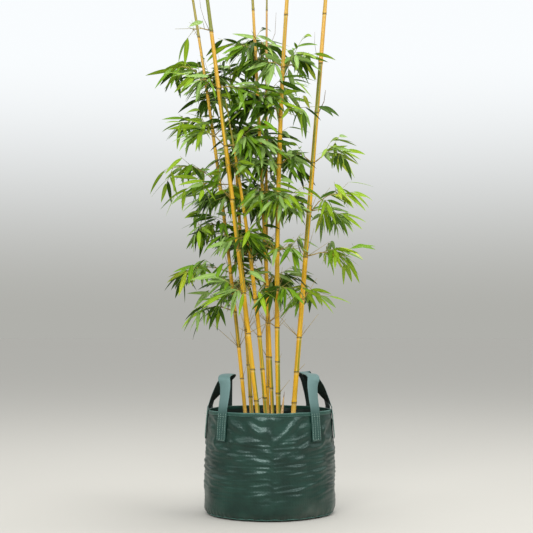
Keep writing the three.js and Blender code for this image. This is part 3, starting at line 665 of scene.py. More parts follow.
# Branches: the source's own rule, draw for draw, then carried on to finer twigs
branchRule = {
    "fall": -30, "flatten": 0.87, "bend": 16, "segments": 3, "firstTwig": 0.3, "twigGap": 0.26,
    "gapSpread": 0.05, "twigs": 3, "twigTurn": 52, "turnSpread": 12, "twigDrop": 6, "dropSpread": 24,
    "twigShare": 0.5, "twigShorten": 0.25, "leastTwig": 50, "lengthSpread": 10, "leafReach": 78, "room": 6,
}
leafRule = {"length": 118, "width": 27, "drawsPerTwig": 35, "headingSpread": 12, "drop": 16, "moreDrop": 26,
            "pitchSpread": 18, "innerSize": 0.84, "sizeSpread": 0.12}
steer = (0, 15, -15, 30, -30, 45, -45, 60, -60)


def seeded(seed):
    state = (seed * 2654435761) % 2 ** 32

    def draw():
        nonlocal state
        state = (state * 1664525 + 1013904223) % 2 ** 32
        return state / 2 ** 32
    for _ in range(3):
        draw()
    return draw


def spread(draw, amount):
    return (draw() * 2 - 1) * amount


def between(draw, low, high):
    return low + (high - low) * draw()


def pointing(heading, pitch):
    h, p = math.radians(heading), math.radians(pitch)
    return np.array([math.cos(h) * math.cos(p), math.sin(h) * math.cos(p), math.sin(p)])


def grow(start, heading, reach, lift, seed):  # a branch: its stem, its twigs and the leaf at its end
    r, leaf = branchRule, leafRule
    draw = seeded(seed)
    length = (reach - r["leafReach"]) / r["flatten"]
    bend = spread(draw, r["bend"])

    def pitchAt(s):
        return lift + (r["fall"] - lift) * s
    stem = [start]
    for i in range(r["segments"]):
        s = (i + 0.5) / r["segments"]
        stem.append(stem[-1] + pointing(heading + bend * s, pitchAt(s)) * length / r["segments"])
    twigs = []
    firstSide = 1 if draw() < 0.5 else -1
    for k in range(r["twigs"]):
        s = r["firstTwig"] + r["twigGap"] * k + spread(draw, r["gapSpread"])
        turn = (-firstSide if k % 2 else firstSide) * (r["twigTurn"] + spread(draw, r["turnSpread"]))
        way = pointing(heading + bend * s + turn, pitchAt(s) - r["twigDrop"] + spread(draw, r["dropSpread"]))
        twigLength = max(r["leastTwig"], length * (r["twigShare"] - r["twigShorten"] * s))
        twigLength += spread(draw, r["lengthSpread"])
        piece = min(r["segments"] - 1, int(s * r["segments"]))
        root = stem[piece] + (stem[piece + 1] - stem[piece]) * (s * r["segments"] - piece)
        twigs.append([root, root + way * twigLength])
        for _ in range(leaf["drawsPerTwig"]):  # what the source draws for this twig's leaves
            draw()
    end = {"root": stem[-1], "heading": heading + bend + spread(draw, leaf["headingSpread"])}
    end["pitch"] = pitchAt(1 - 0.5 / r["segments"]) - leaf["drop"] - leaf["moreDrop"] * draw()
    end["pitch"] += spread(draw, leaf["pitchSpread"])
    end["size"] = 1 + spread(draw, leaf["sizeSpread"])
    return {"stem": stem, "twigs": twigs, "end": end}


def clearOfCulms(start, end, room, own=None):  # whether a stretch keeps this room to every culm but its own
    line = start + (end - start) * np.linspace(0, 1, 9)[:, None]
    for culm in culms:
        low = line[line[:, 2] <= culm["height"] + room]
        if culm is own or not len(low):
            continue
        gap = np.linalg.norm(low - culmAxis(culm, low[:, 2]), axis=1)
        if np.any(gap < culmRadius(culm, low[:, 2]) * culmRule["ridge"] + room):
            return False
    return True


def leafTip(leaf):
    return leaf["root"] + pointing(leaf["heading"], leaf["pitch"]) * leafRule["length"] * leaf["size"]


def branchAt(culm, row, seed):
    node, heading, reach, lift = row
    z = nodeHeights(culm)[node] + culmRule["ridgeHalf"]
    for turn in steer:
        way = heading + turn
        out = culmRadius(culm, z) * culmRule["ridge"] + bagSet["clear"]
        branch = grow(culmAxis(culm, z) + pointing(way, 0) * out, way, reach, lift, seed)
        stem, end = branch["stem"], branch["end"]
        free = all(clearOfCulms(stem[i], stem[i + 1], branchRule["room"], None if i else culm)
                   for i in range(len(stem) - 1))
        if free and clearOfCulms(end["root"], leafTip(end), leafRule["width"] / 2):
            return branch
    return None


# What the scene adds to the source's branches: leaves set along each stem and twig, finer twigs, and small
# sprays that fill the middle of the crown
sprayRule = {
    "stemLeaves": 7, "stemFirst": 0.4, "twigLeaves": 6, "twigFirst": 0.2, "fineLeaves": 5,
    "fineFirst": 0.25, "side": (25, 85), "sideFrom": (0.2, 0.95), "sidePitch": (-22, 46),
    "sideLength": (46, 104), "sideTwigs": 4, "fewTwigs": 2, "splay": 58, "outerSplay": 24,
    "headingSpread": 16, "followPitch": 0.55, "drop": 12, "moreDrop": 48, "pitchSpread": 14, "lowest": -80,
    "roll": (10, 64), "leafRoom": 3, "stemRadii": (2.0, 1.0), "twigRadii": (0.9, 0.55), "beyond": 22,
}
leafSet = {
    "length": 95, "width": 15.6, "stations": 9, "waist": 0.66, "fullness": 0.86, "stalk": (0.027, 0.153),
    "stalkHalf": 0.5, "fold": 0.16, "droop": (6, 30),
}
fillRule = {
    "culms": ("back_left", "thin_back", "middle", "left", "front_left", "front_right"),
    "heights": (820, 1580), "centre": (-85, 10), "turn": 80, "reach": (118, 168), "lift": (10, 82),
}
fillMore = (("right", 6, 182, 150, 66), ("right", 5, 168, 140, 56), ("front_right", 6, 12, 130, 64),
            ("front_right", 8, 20, 128, 30), ("front_right", 5, 8, 128, 46), ("middle", 7, 215, 122, 56),
            ("middle", 6, 320, 120, 60))
# The shares of leaves that are left off: those that would hang before a culm that shows, between two
# heights, and those in the boxes, from and to in x and in height, where the sky shows through
keptInView = (("front_left", 560, 660, 1.0), ("front_left", 660, 760, 0.6), ("front_left", 760, 880, 1.0),
              ("front_left", 880, 1010, 0.5), ("front_left", 1010, 2600, 1.0), ("right", 600, 2600, 0.8),
              ("front_right", 1560, 2700, 0.9))
openSky = (
    (-500, -205, 1585, 1800, 0.94), (140, 500, 400, 780, 0.75), (-500, -140, 400, 690, 0.6),
    (60, 160, 1330, 1480, 0.6), (-500, -225, 1330, 1440, 0.55), (-420, -225, 880, 1030, 0.4),
    (150, 500, 1080, 1160, 0.5), (-500, -170, 700, 1300, 0.24), (-500, -190, 1300, 1600, 0.16),
    (150, 500, 780, 1400, 0.2),
)
viewFrom = (-9.0, -4540.0)


def fillRows(culm):  # small branches at the crown's nodes, turned to its middle
    f = fillRule
    taken = {row[0] for row in culm["branches"]}
    draw = seeded(culm["height"])
    rows = []
    for i, z in enumerate(nodeHeights(culm)):
        if culm["name"] in f["culms"] and f["heights"][0] < z < f["heights"][1]:
            axis = culmAxis(culm, z)
            inward = math.degrees(math.atan2(f["centre"][1] - axis[1], f["centre"][0] - axis[0]))
            for _ in range(1 if i in taken else 2):
                way = inward + spread(draw, f["turn"])
                rows.append((i, way, between(draw, *f["reach"]), between(draw, *f["lift"])))
    return rows + [row[1:] for row in fillMore if row[0] == culm["name"]]


def allBranches():  # each with its culm and whether it is one of the source's, which are whole
    found = []
    for c, culm in enumerate(culms):
        kinds = ((100 * (c + 1), culm["branches"], True), (3000 + 100 * c, fillRows(culm), False))
        for first, rows, whole in kinds:
            found += [(culm, branchAt(culm, row, first + i), whole) for i, row in enumerate(rows)]
    return [row for row in found if row[1]]


def alongLine(line, share):  # the point at this share of a line, and the heading and pitch there
    line = np.asarray(line, float)
    reach = reachAlong(line)
    at = share * reach[-1]
    piece = min(len(line) - 2, int(np.searchsorted(reach, at, side="right")) - 1)
    way = line[piece + 1] - line[piece]
    root = line[piece] + way * (at - reach[piece]) / (reach[piece + 1] - reach[piece])
    pitch = math.degrees(math.asin(way[2] / np.linalg.norm(way)))
    return root, math.degrees(math.atan2(way[1], way[0])), pitch


def leavesAlong(draw, line, count, first):  # alternate leaves from a line's end back to this share of it
    s, size = sprayRule, leafRule["innerSize"]
    leaves = []
    firstSide = 1 if draw() < 0.5 else -1
    for n in range(count):
        u = 1 - (1 - first) * n / (count - 1)
        root, heading, pitch = alongLine(line, u)
        side = 0 if n == 0 else (firstSide if n % 2 else -firstSide)
        splay = s["splay"] + (s["outerSplay"] - s["splay"]) * u
        roll = between(draw, *s["roll"])
        leaf = {"root": root, "heading": heading + side * splay + spread(draw, s["headingSpread"])}
        pitch = s["followPitch"] * pitch - s["drop"] - s["moreDrop"] * draw() + spread(draw, s["pitchSpread"])
        leaf["pitch"] = max(s["lowest"], pitch)
        leaf["size"] = size + (1 - size) * u + spread(draw, leafRule["sizeSpread"])
        leaf["roll"] = roll if draw() < 0.5 else -roll
        leaves.append(leaf)
    return leaves


def leafMesh(leaf, droop):  # a lance-shaped blade, folded a little along its rib, that nods towards its tip
    s = leafSet
    t = np.linspace(0, 1, s["stations"])
    step = s["length"] * leaf["size"] / (s["stations"] - 1)
    h, p = math.radians(leaf["heading"]), np.radians(leaf["pitch"] + droop * (0.5 - t))
    way = np.stack([math.cos(h) * np.cos(p), math.sin(h) * np.cos(p), np.sin(p)], 1)
    on = np.cumsum((way[1:] + way[:-1]) / 2 * step, axis=0)
    middle = leaf["root"] + np.concatenate([[np.zeros(3)], on])
    flat = np.array([-math.sin(h), math.cos(h), 0])
    roll = math.radians(leaf["roll"])
    side = flat * math.cos(roll) + np.cross(way, flat) * math.sin(roll)
    half = s["width"] * leaf["size"] / 2 * np.sin(np.pi * t ** s["waist"]) ** s["fullness"]
    half = np.maximum(half * smoothStep(*s["stalk"], t), s["stalkHalf"])[:, None]
    edges = [middle + side * half * sign + np.cross(way, side) * half * s["fold"] for sign in (1, -1)]
    points = np.stack([edges[0], middle, edges[1]], 1)[:-1].reshape(-1, 3)
    return np.vstack([points, middle[-1]])


def leafFaces():  # the blade's faces, and its length and width as the places on it
    n = leafSet["stations"] - 1
    faces, uv = [], []
    for i in range(n - 1):
        for k in (0, 1):
            a = 3 * i + k
            faces.append((a, a + 1, a + 4, a + 3))
            uv += [((i + di) / n, (k + dk) / 2) for di, dk in ((0, 0), (0, 1), (1, 1), (1, 0))]
    for k in (0, 1):
        faces.append((3 * (n - 1) + k, 3 * (n - 1) + k + 1, 3 * n))
        uv += [((n - 1) / n, k / 2), ((n - 1) / n, (k + 1) / 2), (1.0, 0.5)]
    return faces, uv


def leftOff(points):  # with which chance this leaf is left off
    chance = 0
    x, y, z = points.T
    bearing = (x - viewFrom[0]) / (y - viewFrom[1])
    for name, low, high, share in keptInView:
        culm = culmNamed[name]
        axis = culmAxis(culm, z)
        culmBearing = (axis[:, 0] - viewFrom[0]) / (axis[:, 1] - viewFrom[1])
        near = np.abs(bearing - culmBearing) * -viewFrom[1] < culmRadius(culm, z) + 4
        if np.any(near & (y < axis[:, 1]) & (z > low) & (z < high)):
            chance = max(chance, share)
    middle = points[len(points) // 2]
    for xLow, xHigh, zLow, zHigh, share in openSky:
        if xLow < middle[0] < xHigh and zLow < middle[2] < zHigh:
            chance = max(chance, share)
    return chance


# Twigs are knotted: each joint swells over these distances from it
twigSet = {"jointGap": 34, "joint": ((-4, 0.96), (-1.2, 1.3), (0, 1.0)), "root": 1.15, "tip": 0.9, "sides": 5,
           "stemSides": 7}


def addTwig(pile, line, radii, slot, sides=twigSet["sides"]):
    s, line = twigSet, np.asarray(line, float)
    reach = reachAlong(line)
    joints = max(2, int(reach[-1] // s["jointGap"]))
    marks = [(0.0, s["root"])]
    for j in range(1, joints):
        marks += [(reach[-1] * j / joints + off, swell) for off, swell in s["joint"]]
    at, swell = np.array(marks + [(reach[-1], s["tip"])]).T
    radius = (radii[0] + (radii[1] - radii[0]) * at / reach[-1]) * swell
    tube(pile, pointsAt(at, reach, line), radius, sides, slot)


def arched(stem):  # the stem with its corners cut off, 0.3 of the way to the points beside each
    rounded = [stem[0]]
    for before, at, after in zip(stem, stem[1:], stem[2:]):
        rounded += [at + (before - at) * 0.3, at * 0.7 + (before + after) * 0.15, at + (after - at) * 0.3]
    return rounded + [stem[-1]]


# The plain leaf colour of a whole spray, by number: painted light at the crown's sides (the sunlit colour, or
# the fresh one), painted shade deep inside it, more often behind, and mixed between, with the sheen colour as
# a painted reflection of the sky. Distances from the crown's middle are shares of its half width.
colourRule = {"halfWidth": 250, "outer": 0.8, "lit": 0.6, "sunlit": 0.22, "inner": 0.6, "shadeBehind": 0.6,
              "shadeBefore": 0.16, "mix": (1, 1, 2, 3, 0, 2, 1, 3, 0, 2), "own": 0.82, "litFrom": 180}


def sprayColour(place, draw):
    c = colourRule
    outward = abs(place[0] - fillRule["centre"][0]) / c["halfWidth"]
    chance = draw()
    if outward > c["outer"] and chance < c["lit"]:
        return 4 if chance < c["sunlit"] else 3
    if outward < c["inner"] and chance < (c["shadeBehind"] if place[1] > 0 else c["shadeBefore"]):
        return 0
    return c["mix"][int(draw() * len(c["mix"]))]


# Bare twigs: the few that stand against the sky, and short dry ones at the nodes below the leaves
skyTwigs = (  # culm, node, heading, pitch, length, radius
    ("front_left", 8, 185, 74, 128, 1.0), ("thin_back", 8, 350, 78, 150, 1.0),
    ("right", 8, 200, 82, 108, 0.9), ("right", 7, 12, 73, 82, 1.9), ("middle", 8, 150, 74, 62, 0.8),
    ("middle", 8, 200, 40, 40, 0.7),
    ("back_left", 9, 190, 66, 112, 1.0), ("left", 8, 200, 70, 60, 0.8), ("front_right", 8, 20, 60, 54, 0.8),
)
skyBend = 9
bareRule = {
    "heights": (380, 1070), "fewBelow": 560, "few": 1, "some": 3, "many": 5, "least": 34, "longest": 135,
    "lowLongest": 55, "pitch": (28, 68), "radii": (1.0, 0.5), "room": 2,
}


def addBareTwigs(piles):
    for name, node, heading, pitch, length, radius in skyTwigs:
        culm = culmNamed[name]
        start = culmAxis(culm, nodeHeights(culm)[node] + culmRule["ridgeHalf"])
        start = start + pointing(heading, 0) * culmRadius(culm, start[2])
        bend = start + pointing(heading, pitch - skyBend) * length / 2
        line = [start, bend, bend + pointing(heading, pitch + skyBend) * length / 2]
        addTwig(piles[name][1], line, (radius, radius / 2), 2)
    b = bareRule
    for culm in culms:
        draw = seeded(culm["height"] + 1)
        taken = {row[0] for row in culm["branches"]}
        for i, z in enumerate(nodeHeights(culm)):
            low = z < b["fewBelow"]
            count = b["few"] if low else b["some"] if i in taken else b["many"]
            for _ in range(count if b["heights"][0] < z < b["heights"][1] else 0):
                heading = 360 * draw()
                pitch = between(draw, *b["pitch"])
                length = between(draw, b["least"], b["lowLongest"] if low else b["longest"])
                start = culmAxis(culm, z + culmRule["ridgeHalf"]) + pointing(heading, 0) * culmRadius(culm, z)
                tip = start + pointing(heading, pitch) * length
                if clearOfCulms(start, tip, b["room"], culm):
                    addTwig(piles[culm["name"]][1], [start, tip], b["radii"], 0)


def makeFoliage(leafMaterials, twigMaterials):
    s, c = sprayRule, colourRule
    faces, uv = leafFaces()
    piles = {culm["name"]: (Pile(), Pile()) for culm in culms}
    boxLow, boxHigh = np.array(cadLow) * 1000 - s["beyond"], np.array(cadHigh) * 1000 + s["beyond"]
    total = 0
    for number, (culm, branch, whole) in enumerate(allBranches()):
        leafPile, twigPile = piles[culm["name"]]
        draw = seeded(50000 + number)
        stem = arched(branch["stem"])
        addTwig(twigPile, stem, s["stemRadii"], 0, twigSet["stemSides"])
        sprays = [(stem, s["stemLeaves"], s["stemFirst"])]
        for twig in branch["twigs"] if whole else branch["twigs"][:1]:
            addTwig(twigPile, twig, s["twigRadii"], 1)
            sprays.append((twig, s["twigLeaves"], s["twigFirst"]))
        for k in range(s["sideTwigs"] if whole else s["fewTwigs"]):
            start, way, _ = alongLine(stem, between(draw, *s["sideFrom"]))
            way += between(draw, *s["side"]) * (1 if (k + number) % 2 else -1)
            tip = start + pointing(way, between(draw, *s["sidePitch"])) * between(draw, *s["sideLength"])
            if clearOfCulms(start, tip, s["leafRoom"]):
                addTwig(twigPile, [start, tip], s["twigRadii"], 1)
                sprays.append(([start, tip], s["fineLeaves"], s["fineFirst"]))
        for line, count, first in sprays:
            colour = sprayColour(line[-1], draw)
            for leaf in leavesAlong(draw, line, count, first):
                points = leafMesh(leaf, between(draw, *leafSet["droop"]))
                odd, other, keep = draw(), int(draw() * len(leafMaterials)), draw()
                if np.any(points < boxLow) or np.any(points > boxHigh) or keep < leftOff(points):
                    continue
                if clearOfCulms(leaf["root"], leafTip(leaf), s["leafRoom"]):
                    # An odd leaf takes another colour: up to the painted sheen inside the crown, and up to
                    # the fresh colour, which stands for painted light, at its lit sides
                    lit = abs(leaf["root"][0] - fillRule["centre"][0]) > c["litFrom"]
                    leafPile.add(points, faces, colour if odd < c["own"] else min(other, 3 if lit else 2), uv)
                    total += 1
    addBareTwigs(piles)
    print("foliage:", total, "leaves,", sum(len(leafPile.faces) for leafPile, _ in piles.values()), "faces")
    return [(culm, piles[culm["name"]][0].piece("foliage_" + culm["name"], leafMaterials),
             piles[culm["name"]][1].piece("twigs_" + culm["name"], twigMaterials)) for culm in culms]


# Young shoot: a spear of overlapping papery sheaths
shootSet = {
    "foot": (40, -47), "lean": (12, -4), "height": 108, "radius": 5.5, "sides": 20, "sheaths": 5, "rows": 7,
    "taper": 1.7, "bottom": 0.82, "overlap": 1.55, "reach": 0.9, "extra": 0.04, "outer": 0.05, "open": 0.25,
    "point": 0.03, "pointTurn": 2.4, "thinnest": 0.3, "rooted": 2,
}


def makeShoot(materials):
    s, angles = shootSet, roundTurn(shootSet["sides"])
    pile = Pile()
    for k in range(s["sheaths"]):
        low = k / s["sheaths"] * s["bottom"]
        high = min(1.0, (k + s["overlap"]) / s["sheaths"] * s["reach"] + s["extra"])
        rings = []
        for t in np.linspace(low, high, s["rows"]):
            radius = s["radius"] * (1 - t ** s["taper"])
            radius *= 1 + s["outer"] * (s["sheaths"] - k) / s["sheaths"]
            radius += s["open"] * smoothStep(0.6, 1, (t - low) / (high - low))
            up = np.minimum(t + s["point"] * np.cos(angles - k * s["pointTurn"]) * (t == high), 1)
            middle = [s["foot"][i] + s["lean"][i] * t for i in (0, 1)]
            z = soilTop - s["rooted"] + (s["height"] + s["rooted"]) * up
            rings.append(ringOf(angles, max(radius, s["thinnest"]), z, middle))
        pile.add(np.concatenate(rings), gridFaces(len(rings), s["sides"])[0], int(k == s["sheaths"] - 1))
    return pile.piece("shootSheaths", materials)


# Tarpaulin cloth: woven polyethylene tape with a film melted over it, which gives a hard, slightly rippled
# gloss. The real tape is 2.5 mm wide, and is drawn 5 mm wide so that it shows. Blotches and creases are
# counted by the metre.
clothSet = {"tape": 0.005, "blotches": 14, "creases": 90, "creaseDepth": 0.0012}


def wovenPolyethylene(name, deep, light, roughness, weaveDepth, mask=None, masked=None, maskedRoughness=None):
    c = clothSet
    gloss = {"Specular IOR Level": 0.55, "Specular Tint": linear("#d6efea")}
    material, tree, shader = newMaterial(name, {"IOR": 1.51, "Roughness": roughness, **gloss})
    place = addNode(tree, "TexCoord", out="UV")
    bands = {"Vector": place, "Scale": 0.314 / (2 * c["tape"])}
    warp, weft = [addNode(tree, "TexWave", bands, {"bands_direction": way}, "Fac") for way in "XY"]
    cross = addNode(tree, "Math", {0: warp, 1: weft}, multiply)
    broad = addNode(tree, "TexNoise", {"Vector": place, "Scale": c["blotches"], "Detail": 3})
    tone = addNode(tree, "MapRange", {"Value": broad, "From Min": 0.35, "From Max": 0.68})
    colour = addNode(tree, "Mix", {0: tone, mixA: linear(deep), mixB: linear(light)}, mixColour, mixOut)
    if mask:
        film = addNode(tree, "Attribute", None, {"attribute_name": mask}, "Fac")
        colour = addNode(tree, "Mix", {0: film, mixA: colour, mixB: linear(masked)}, mixColour, mixOut)
        dull = addNode(tree, "MapRange", {"Value": film, "To Min": roughness, "To Max": maskedRoughness})
        setInputs(shader, {"Roughness": dull})
    crumpled = {"Vector": place, "Scale": c["creases"], "Detail": 4, "Distortion": 0.6}
    crease = addNode(tree, "TexNoise", crumpled)
    soft = addNode(tree, "Bump", {"Strength": 0.5, "Distance": c["creaseDepth"], "Height": crease})
    weave = addNode(tree, "Bump", {"Strength": 0.6, "Distance": weaveDepth, "Height": cross, "Normal": soft})
    setInputs(shader, {"Base Color": colour, "Normal": weave})
    return material


# Living cane: a hard waxy skin over fibre, so it is glossy and finely streaked. The fibres are too fine to
# show, so the streaks are drawn about 1 mm wide and 17 cm long. Each mark on the skin has its colour and how
# far it covers the gold.
caneMarks = (("tan", "#a5794a", 0.8), ("paleFoot", "#d9c391", 0.6), ("green", "#5c7420", 0.85),
             ("bloom", "#cdbf84", 0.5), ("ringDark", "#38381c", 0.84))


def goldenCane():
    material, tree, shader = newMaterial("livingCaneWaxed", {"IOR": 1.47})
    cane = addNode(tree, "Attribute", None, {"attribute_name": "cane"}, "Vector")
    stretched = addNode(tree, "Mapping", {"Vector": cane, "Scale": (3.2, 3.2, 2.2)})
    fine = addNode(tree, "TexNoise", {"Vector": stretched, "Scale": 2.6, "Detail": 5})
    patchy = addNode(tree, "TexNoise", {"Vector": cane, "Scale": 5.5, "Detail": 2})
    tone = addNode(tree, "MapRange", {"Value": fine, "From Min": 0.36, "From Max": 0.66})
    warm = addNode(tree, "MapRange", {"Value": patchy, "From Min": 0.5, "From Max": 0.75, "To Max": 0.5})
    golds = {0: tone, mixA: linear("#c48e0a"), mixB: linear("#e3b41c")}
    skin = addNode(tree, "Mix", golds, mixColour, mixOut)
    skin = addNode(tree, "Mix", {0: warm, mixA: skin, mixB: linear("#ecc53e")}, mixColour, mixOut)
    for key, colour, most in caneMarks:
        mask = addNode(tree, "Attribute", None, {"attribute_name": key}, "Fac")
        share = addNode(tree, "Math", {0: mask, 1: most}, multiply)
        skin = addNode(tree, "Mix", {0: share, mixA: skin, mixB: linear(colour)}, mixColour, mixOut)
    dull = addNode(tree, "MapRange", {"Value": fine, "To Min": 0.28, "To Max": 0.5})
    fibre = addNode(tree, "Bump", {"Strength": 0.25, "Distance": 0.0006, "Height": fine})
    setInputs(shader, {"Base Color": skin, "Roughness": dull, "Normal": fibre})
    return material


# Leaf blade: thin and waxed, so it shines softly, and paler along its rib. Its veins are too fine to show,
# and are drawn about 2 mm apart.
def leafBlade(name, colour, rib, roughness):
    gloss = {"Specular IOR Level": 0.3, "Specular Tint": linear("#e2eea2")}
    material, tree, shader = newMaterial(name, {"IOR": 1.42, "Roughness": roughness, **gloss})
    place = addNode(tree, "TexCoord", out="UV")
    across = addNode(tree, "SeparateXYZ", {0: place}, out=1)
    off = addNode(tree, "Math", {0: across, 1: 0.5}, {"operation": "SUBTRACT"})
    away = addNode(tree, "Math", {0: off}, {"operation": "ABSOLUTE"})
    ribbed = {"Value": away, "From Min": 0.02, "From Max": 0.07, "To Min": 0.7, "To Max": 0.0}
    line = addNode(tree, "MapRange", ribbed)
    blade = addNode(tree, "Mix", {0: line, mixA: linear(colour), mixB: linear(rib)}, mixColour, mixOut)
    veins = addNode(tree, "TexWave", {"Vector": place, "Scale": 2.6}, {"bands_direction": "Y"}, "Fac")
    relief = addNode(tree, "Bump", {"Strength": 0.25, "Distance": 0.0008, "Height": veins})
    setInputs(shader, {"Base Color": blade, "Normal": relief})
    return material


def grained(name, deep, light, roughness, grainMm, depth):  # a plain natural surface with grain of one size
    material, tree, shader = newMaterial(name, {"Roughness": roughness})
    place = addNode(tree, "TexCoord", out="Object")
    grain = addNode(tree, "TexNoise", {"Vector": place, "Scale": 1000 / grainMm, "Detail": 4})
    tone = addNode(tree, "MapRange", {"Value": grain, "From Min": 0.35, "From Max": 0.65})
    colour = addNode(tree, "Mix", {0: tone, mixA: linear(deep), mixB: linear(light)}, mixColour, mixOut)
    relief = addNode(tree, "Bump", {"Strength": 0.6, "Distance": depth, "Height": grain})
    setInputs(shader, {"Base Color": colour, "Normal": relief})
    return material


def settle(piece, slotName, *nodes):  # every piece rides on the one body and stands for its solids
    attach(piece, "root")
    if nodes:
        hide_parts(*nodes)


# The bag
tarpaulins = [
    wovenPolyethylene("tarpaulinWovenFilmed", "#0b231b", "#16352b", 0.35, 0.0004, "dust", "#4d5048", 0.7),
    wovenPolyethylene("tarpaulinInsideBlack", "#0b1411", "#14201c", 0.5, 0.0004),
]
# the hem's top edge and the base welt's outer face take the second, lighter cloth as a painted highlight
edges = [wovenPolyethylene("tarpaulinEdgeFolded", "#17372e", "#22473c", 0.4, 0.0003),
         wovenPolyethylene("tarpaulinEdgePaintedHighlight", "#31544b", "#4c7067", 0.55, 0.0003)]
# the free part of each strap is painted a lighter teal as sky light
straps = [wovenPolyethylene("strapWovenFolded", "#22403a", "#2f4e47", 0.45, 0.0003, "paintedSkyLight", "#5b7674", 0.5),
          # the strap's inner face is painted near black as shade
          wovenPolyethylene("strapUndersidePaintedShade", "#0e1c18", "#172a24", 0.55, 0.0004)]
thread = grained("threadSpunPolyester", "#66857a", "#94aca1", 0.6, 1.2, 0.0002)
# the hem's thread is painted darker, as shade along its stitch line
threadHemShaded = grained("threadHemPaintedShade", "#34524a", "#5f7d74", 0.7, 1.2, 0.0002)
settle(makeBag(tarpaulins), "bag_fabric", "planter_bag")
settle(makeHem(edges), "bag_fabric")
settle(makeWelt(edges), "bag_fabric")
settle(makeHemStitches(threadHemShaded), "strap_webbing")
for name in loops:
    strap, stitches = makeLoop(name, straps, thread)
    settle(strap, "strap_webbing", "loop_" + name)
    settle(stitches, "strap_webbing")
print("bag and loops made")

# The potting mix
barkDark = grained("barkCompostedDamp", "#15100b", "#3a2a1c", 0.95, 6, 0.002)
barkMid = grained("barkChipBrown", "#4a3320", "#6e5136", 0.9, 3, 0.0006)
barkGrey = grained("barkChipWeathered", "#5d5246", "#8a7c69", 0.9, 3, 0.0006)
gritPale = grained("perliteExpanded", "#b9b5aa", "#dedbd2", 0.85, 2, 0.0004)
settle(makeSoil(barkDark), "potting_mix", "potting_mix")
feet = [culm["foot"] for culm in culms] + [shootSet["foot"]]
settle(makeChips([barkDark, barkMid, barkGrey, gritPale], feet), "potting_mix")
print("potting mix made")

# The culms and the shoot
cane = goldenCane()
for culm in culms:
    settle(makeCulm(culm, cane), "culm", "culm_" + culm["name"])
sheaths = [grained("sheathPaperyDry", "#b98f5c", "#d9ba86", 0.7, 4, 0.0004),
           grained("sheathTipWithered", "#5b3a1e", "#8a6236", 0.8, 4, 0.0004)]
settle(makeShoot(sheaths), "shoot_sheath", "young_shoot")
print("culms made")

# The foliage
# Leaf colours: deep is painted shade, sheen is a painted reflection of the sky and sunlit is painted
# sunlight; fresh is a yellower green that is mixed in and also stands for painted light at the crown's sides
leafColours = [
    leafBlade("leafWaxedPaintedShade", "#314d0a", "#547424", 0.5),
    leafBlade("leafWaxedMid", "#648c18", "#8cab40", 0.46),
    leafBlade("leafWaxedPaintedSheen", "#86a556", "#aac47a", 0.4),
    leafBlade("leafWaxedFreshAndPaintedLight", "#80a01e", "#a9c04a", 0.48),
    leafBlade("leafWaxedPaintedSunlight", "#a8b930", "#ccd66c", 0.5),
]
twigBarks = [
    grained("twigBarkTan", "#84702e", "#b0964a", 0.55, 5, 0.0003),
    grained("twigBarkGreenish", "#76742c", "#a1964a", 0.55, 5, 0.0003),
    grained("twigBarkDry", "#5c5348", "#8a7a66", 0.8, 5, 0.0003),
]
for culm, foliage, twigs in makeFoliage(leafColours, twigBarks):
    masses = [f"leaves_{culm['name']}_{i + 1}" for i in range(len(culm["branches"]))]
    settle(foliage, "foliage", *masses)
    settle(twigs, "foliage", *masses)

# Floor and light: a pale room that is brighter overhead, three wide softboxes before the plant and one over
# it. The room gives less light from low down, but for the side ahead, so that the folds and the canes have
# contrast.
roomSet = {
    "half": 40, "floor": "#b3b0a9", "floorDrop": 0.0005, "horizon": "#b0b0ab", "overhead": "#f3f6f8",
    "overheadPower": 1.06, "rise": 0.2, "walls": 0.28, "wallRise": (0.02, 0.5), "wallTurn": (0.6, 0.95),
    "aim": (0, 0, 0.7),
}
softboxes = (  # place in metres, size across and up, watts
    ("front", (-0.9, -4.9, 3.5), (3.4, 1.2), 215), ("left", (-4.6, -2.6, 3.5), (3.2, 1.2), 38),
    ("right", (4.5, -2.9, 3.3), (3.2, 1.2), 90), ("top", (0.6, 0.7, 5.0), (2.6, 2.6), 120),
)
floorMaterial = newMaterial("floorPaintedMatt", {"Roughness": 0.9, "Specular IOR Level": 0.2,
                                                 "Base Color": linear(roomSet["floor"])})[0]
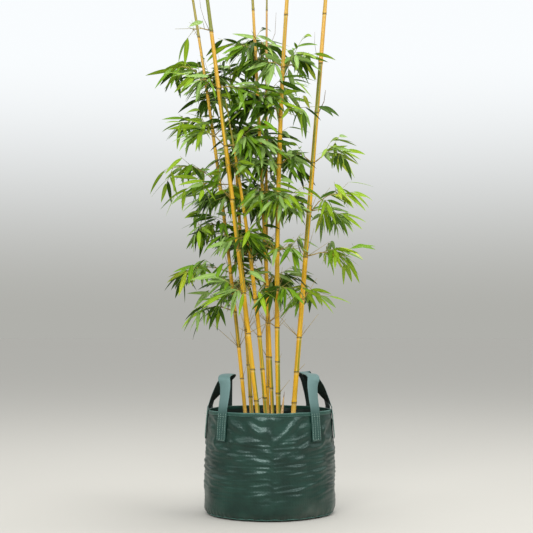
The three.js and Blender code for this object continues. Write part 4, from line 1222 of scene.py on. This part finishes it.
half = roomSet["half"] * 1000
corners = [(-half, -half, 0), (half, -half, 0), (half, half, 0), (-half, half, 0)]
floor = makePiece("floor", corners, [(0, 1, 2, 3)], [floorMaterial], smooth=False)
floor.location.z = -roomSet["floorDrop"]
world = bpy.data.worlds.new("paleRoom")
bpy.context.scene.world = world
world.use_nodes = True
room = world.node_tree
smooth = {"interpolation_type": "SMOOTHSTEP"}
direction = addNode(room, "TexCoord", out="Generated")
_, north, rising = addNode(room, "SeparateXYZ", {0: direction}).node.outputs
height = addNode(room, "MapRange", {"Value": rising, "From Max": roomSet["rise"]}, smooth)
tone = addNode(room, "Mix", {0: height, mixA: linear(roomSet["horizon"]), mixB: linear(roomSet["overhead"])},
               mixColour, mixOut)
power = addNode(room, "MapRange", {"Value": height, "To Min": 1, "To Max": roomSet["overheadPower"]})
darker = []  # low down, and away from the side ahead
for value, (start, end), most in ((rising, roomSet["wallRise"], 1 - roomSet["walls"]),
                                  (north, roomSet["wallTurn"], 1)):
    span = {"Value": value, "From Min": start, "From Max": end, "To Min": most, "To Max": 0}
    darker.append(addNode(room, "MapRange", span, smooth))
shade = addNode(room, "Math", {0: darker[0], 1: darker[1]}, multiply)
lessLight = addNode(room, "Math", {0: 1, 1: shade}, {"operation": "SUBTRACT"})
seen = addNode(room, "LightPath", out="Is Camera Ray")  # the backdrop itself is pale all round
share = addNode(room, "Math", {0: lessLight, 1: seen}, {"operation": "MAXIMUM"})
strength = addNode(room, "Math", {0: power, 1: share}, multiply)
setInputs(room.nodes["Background"], {"Color": tone, "Strength": strength})
for name, place, size, watts in softboxes:
    data = bpy.data.lights.new(name, "AREA")
    data.shape = "RECTANGLE"
    data.size, data.size_y, data.energy = *size, watts
    lamp = bpy.data.objects.new(name, data)
    lamp.location = place
    lamp.rotation_euler = (Vector(roomSet["aim"]) - Vector(place)).to_track_quat("-Z", "Y").to_euler()
    bpy.context.scene.collection.objects.link(lamp)
bpy.context.scene.view_settings.view_transform = "Standard"
print("floor and light made")
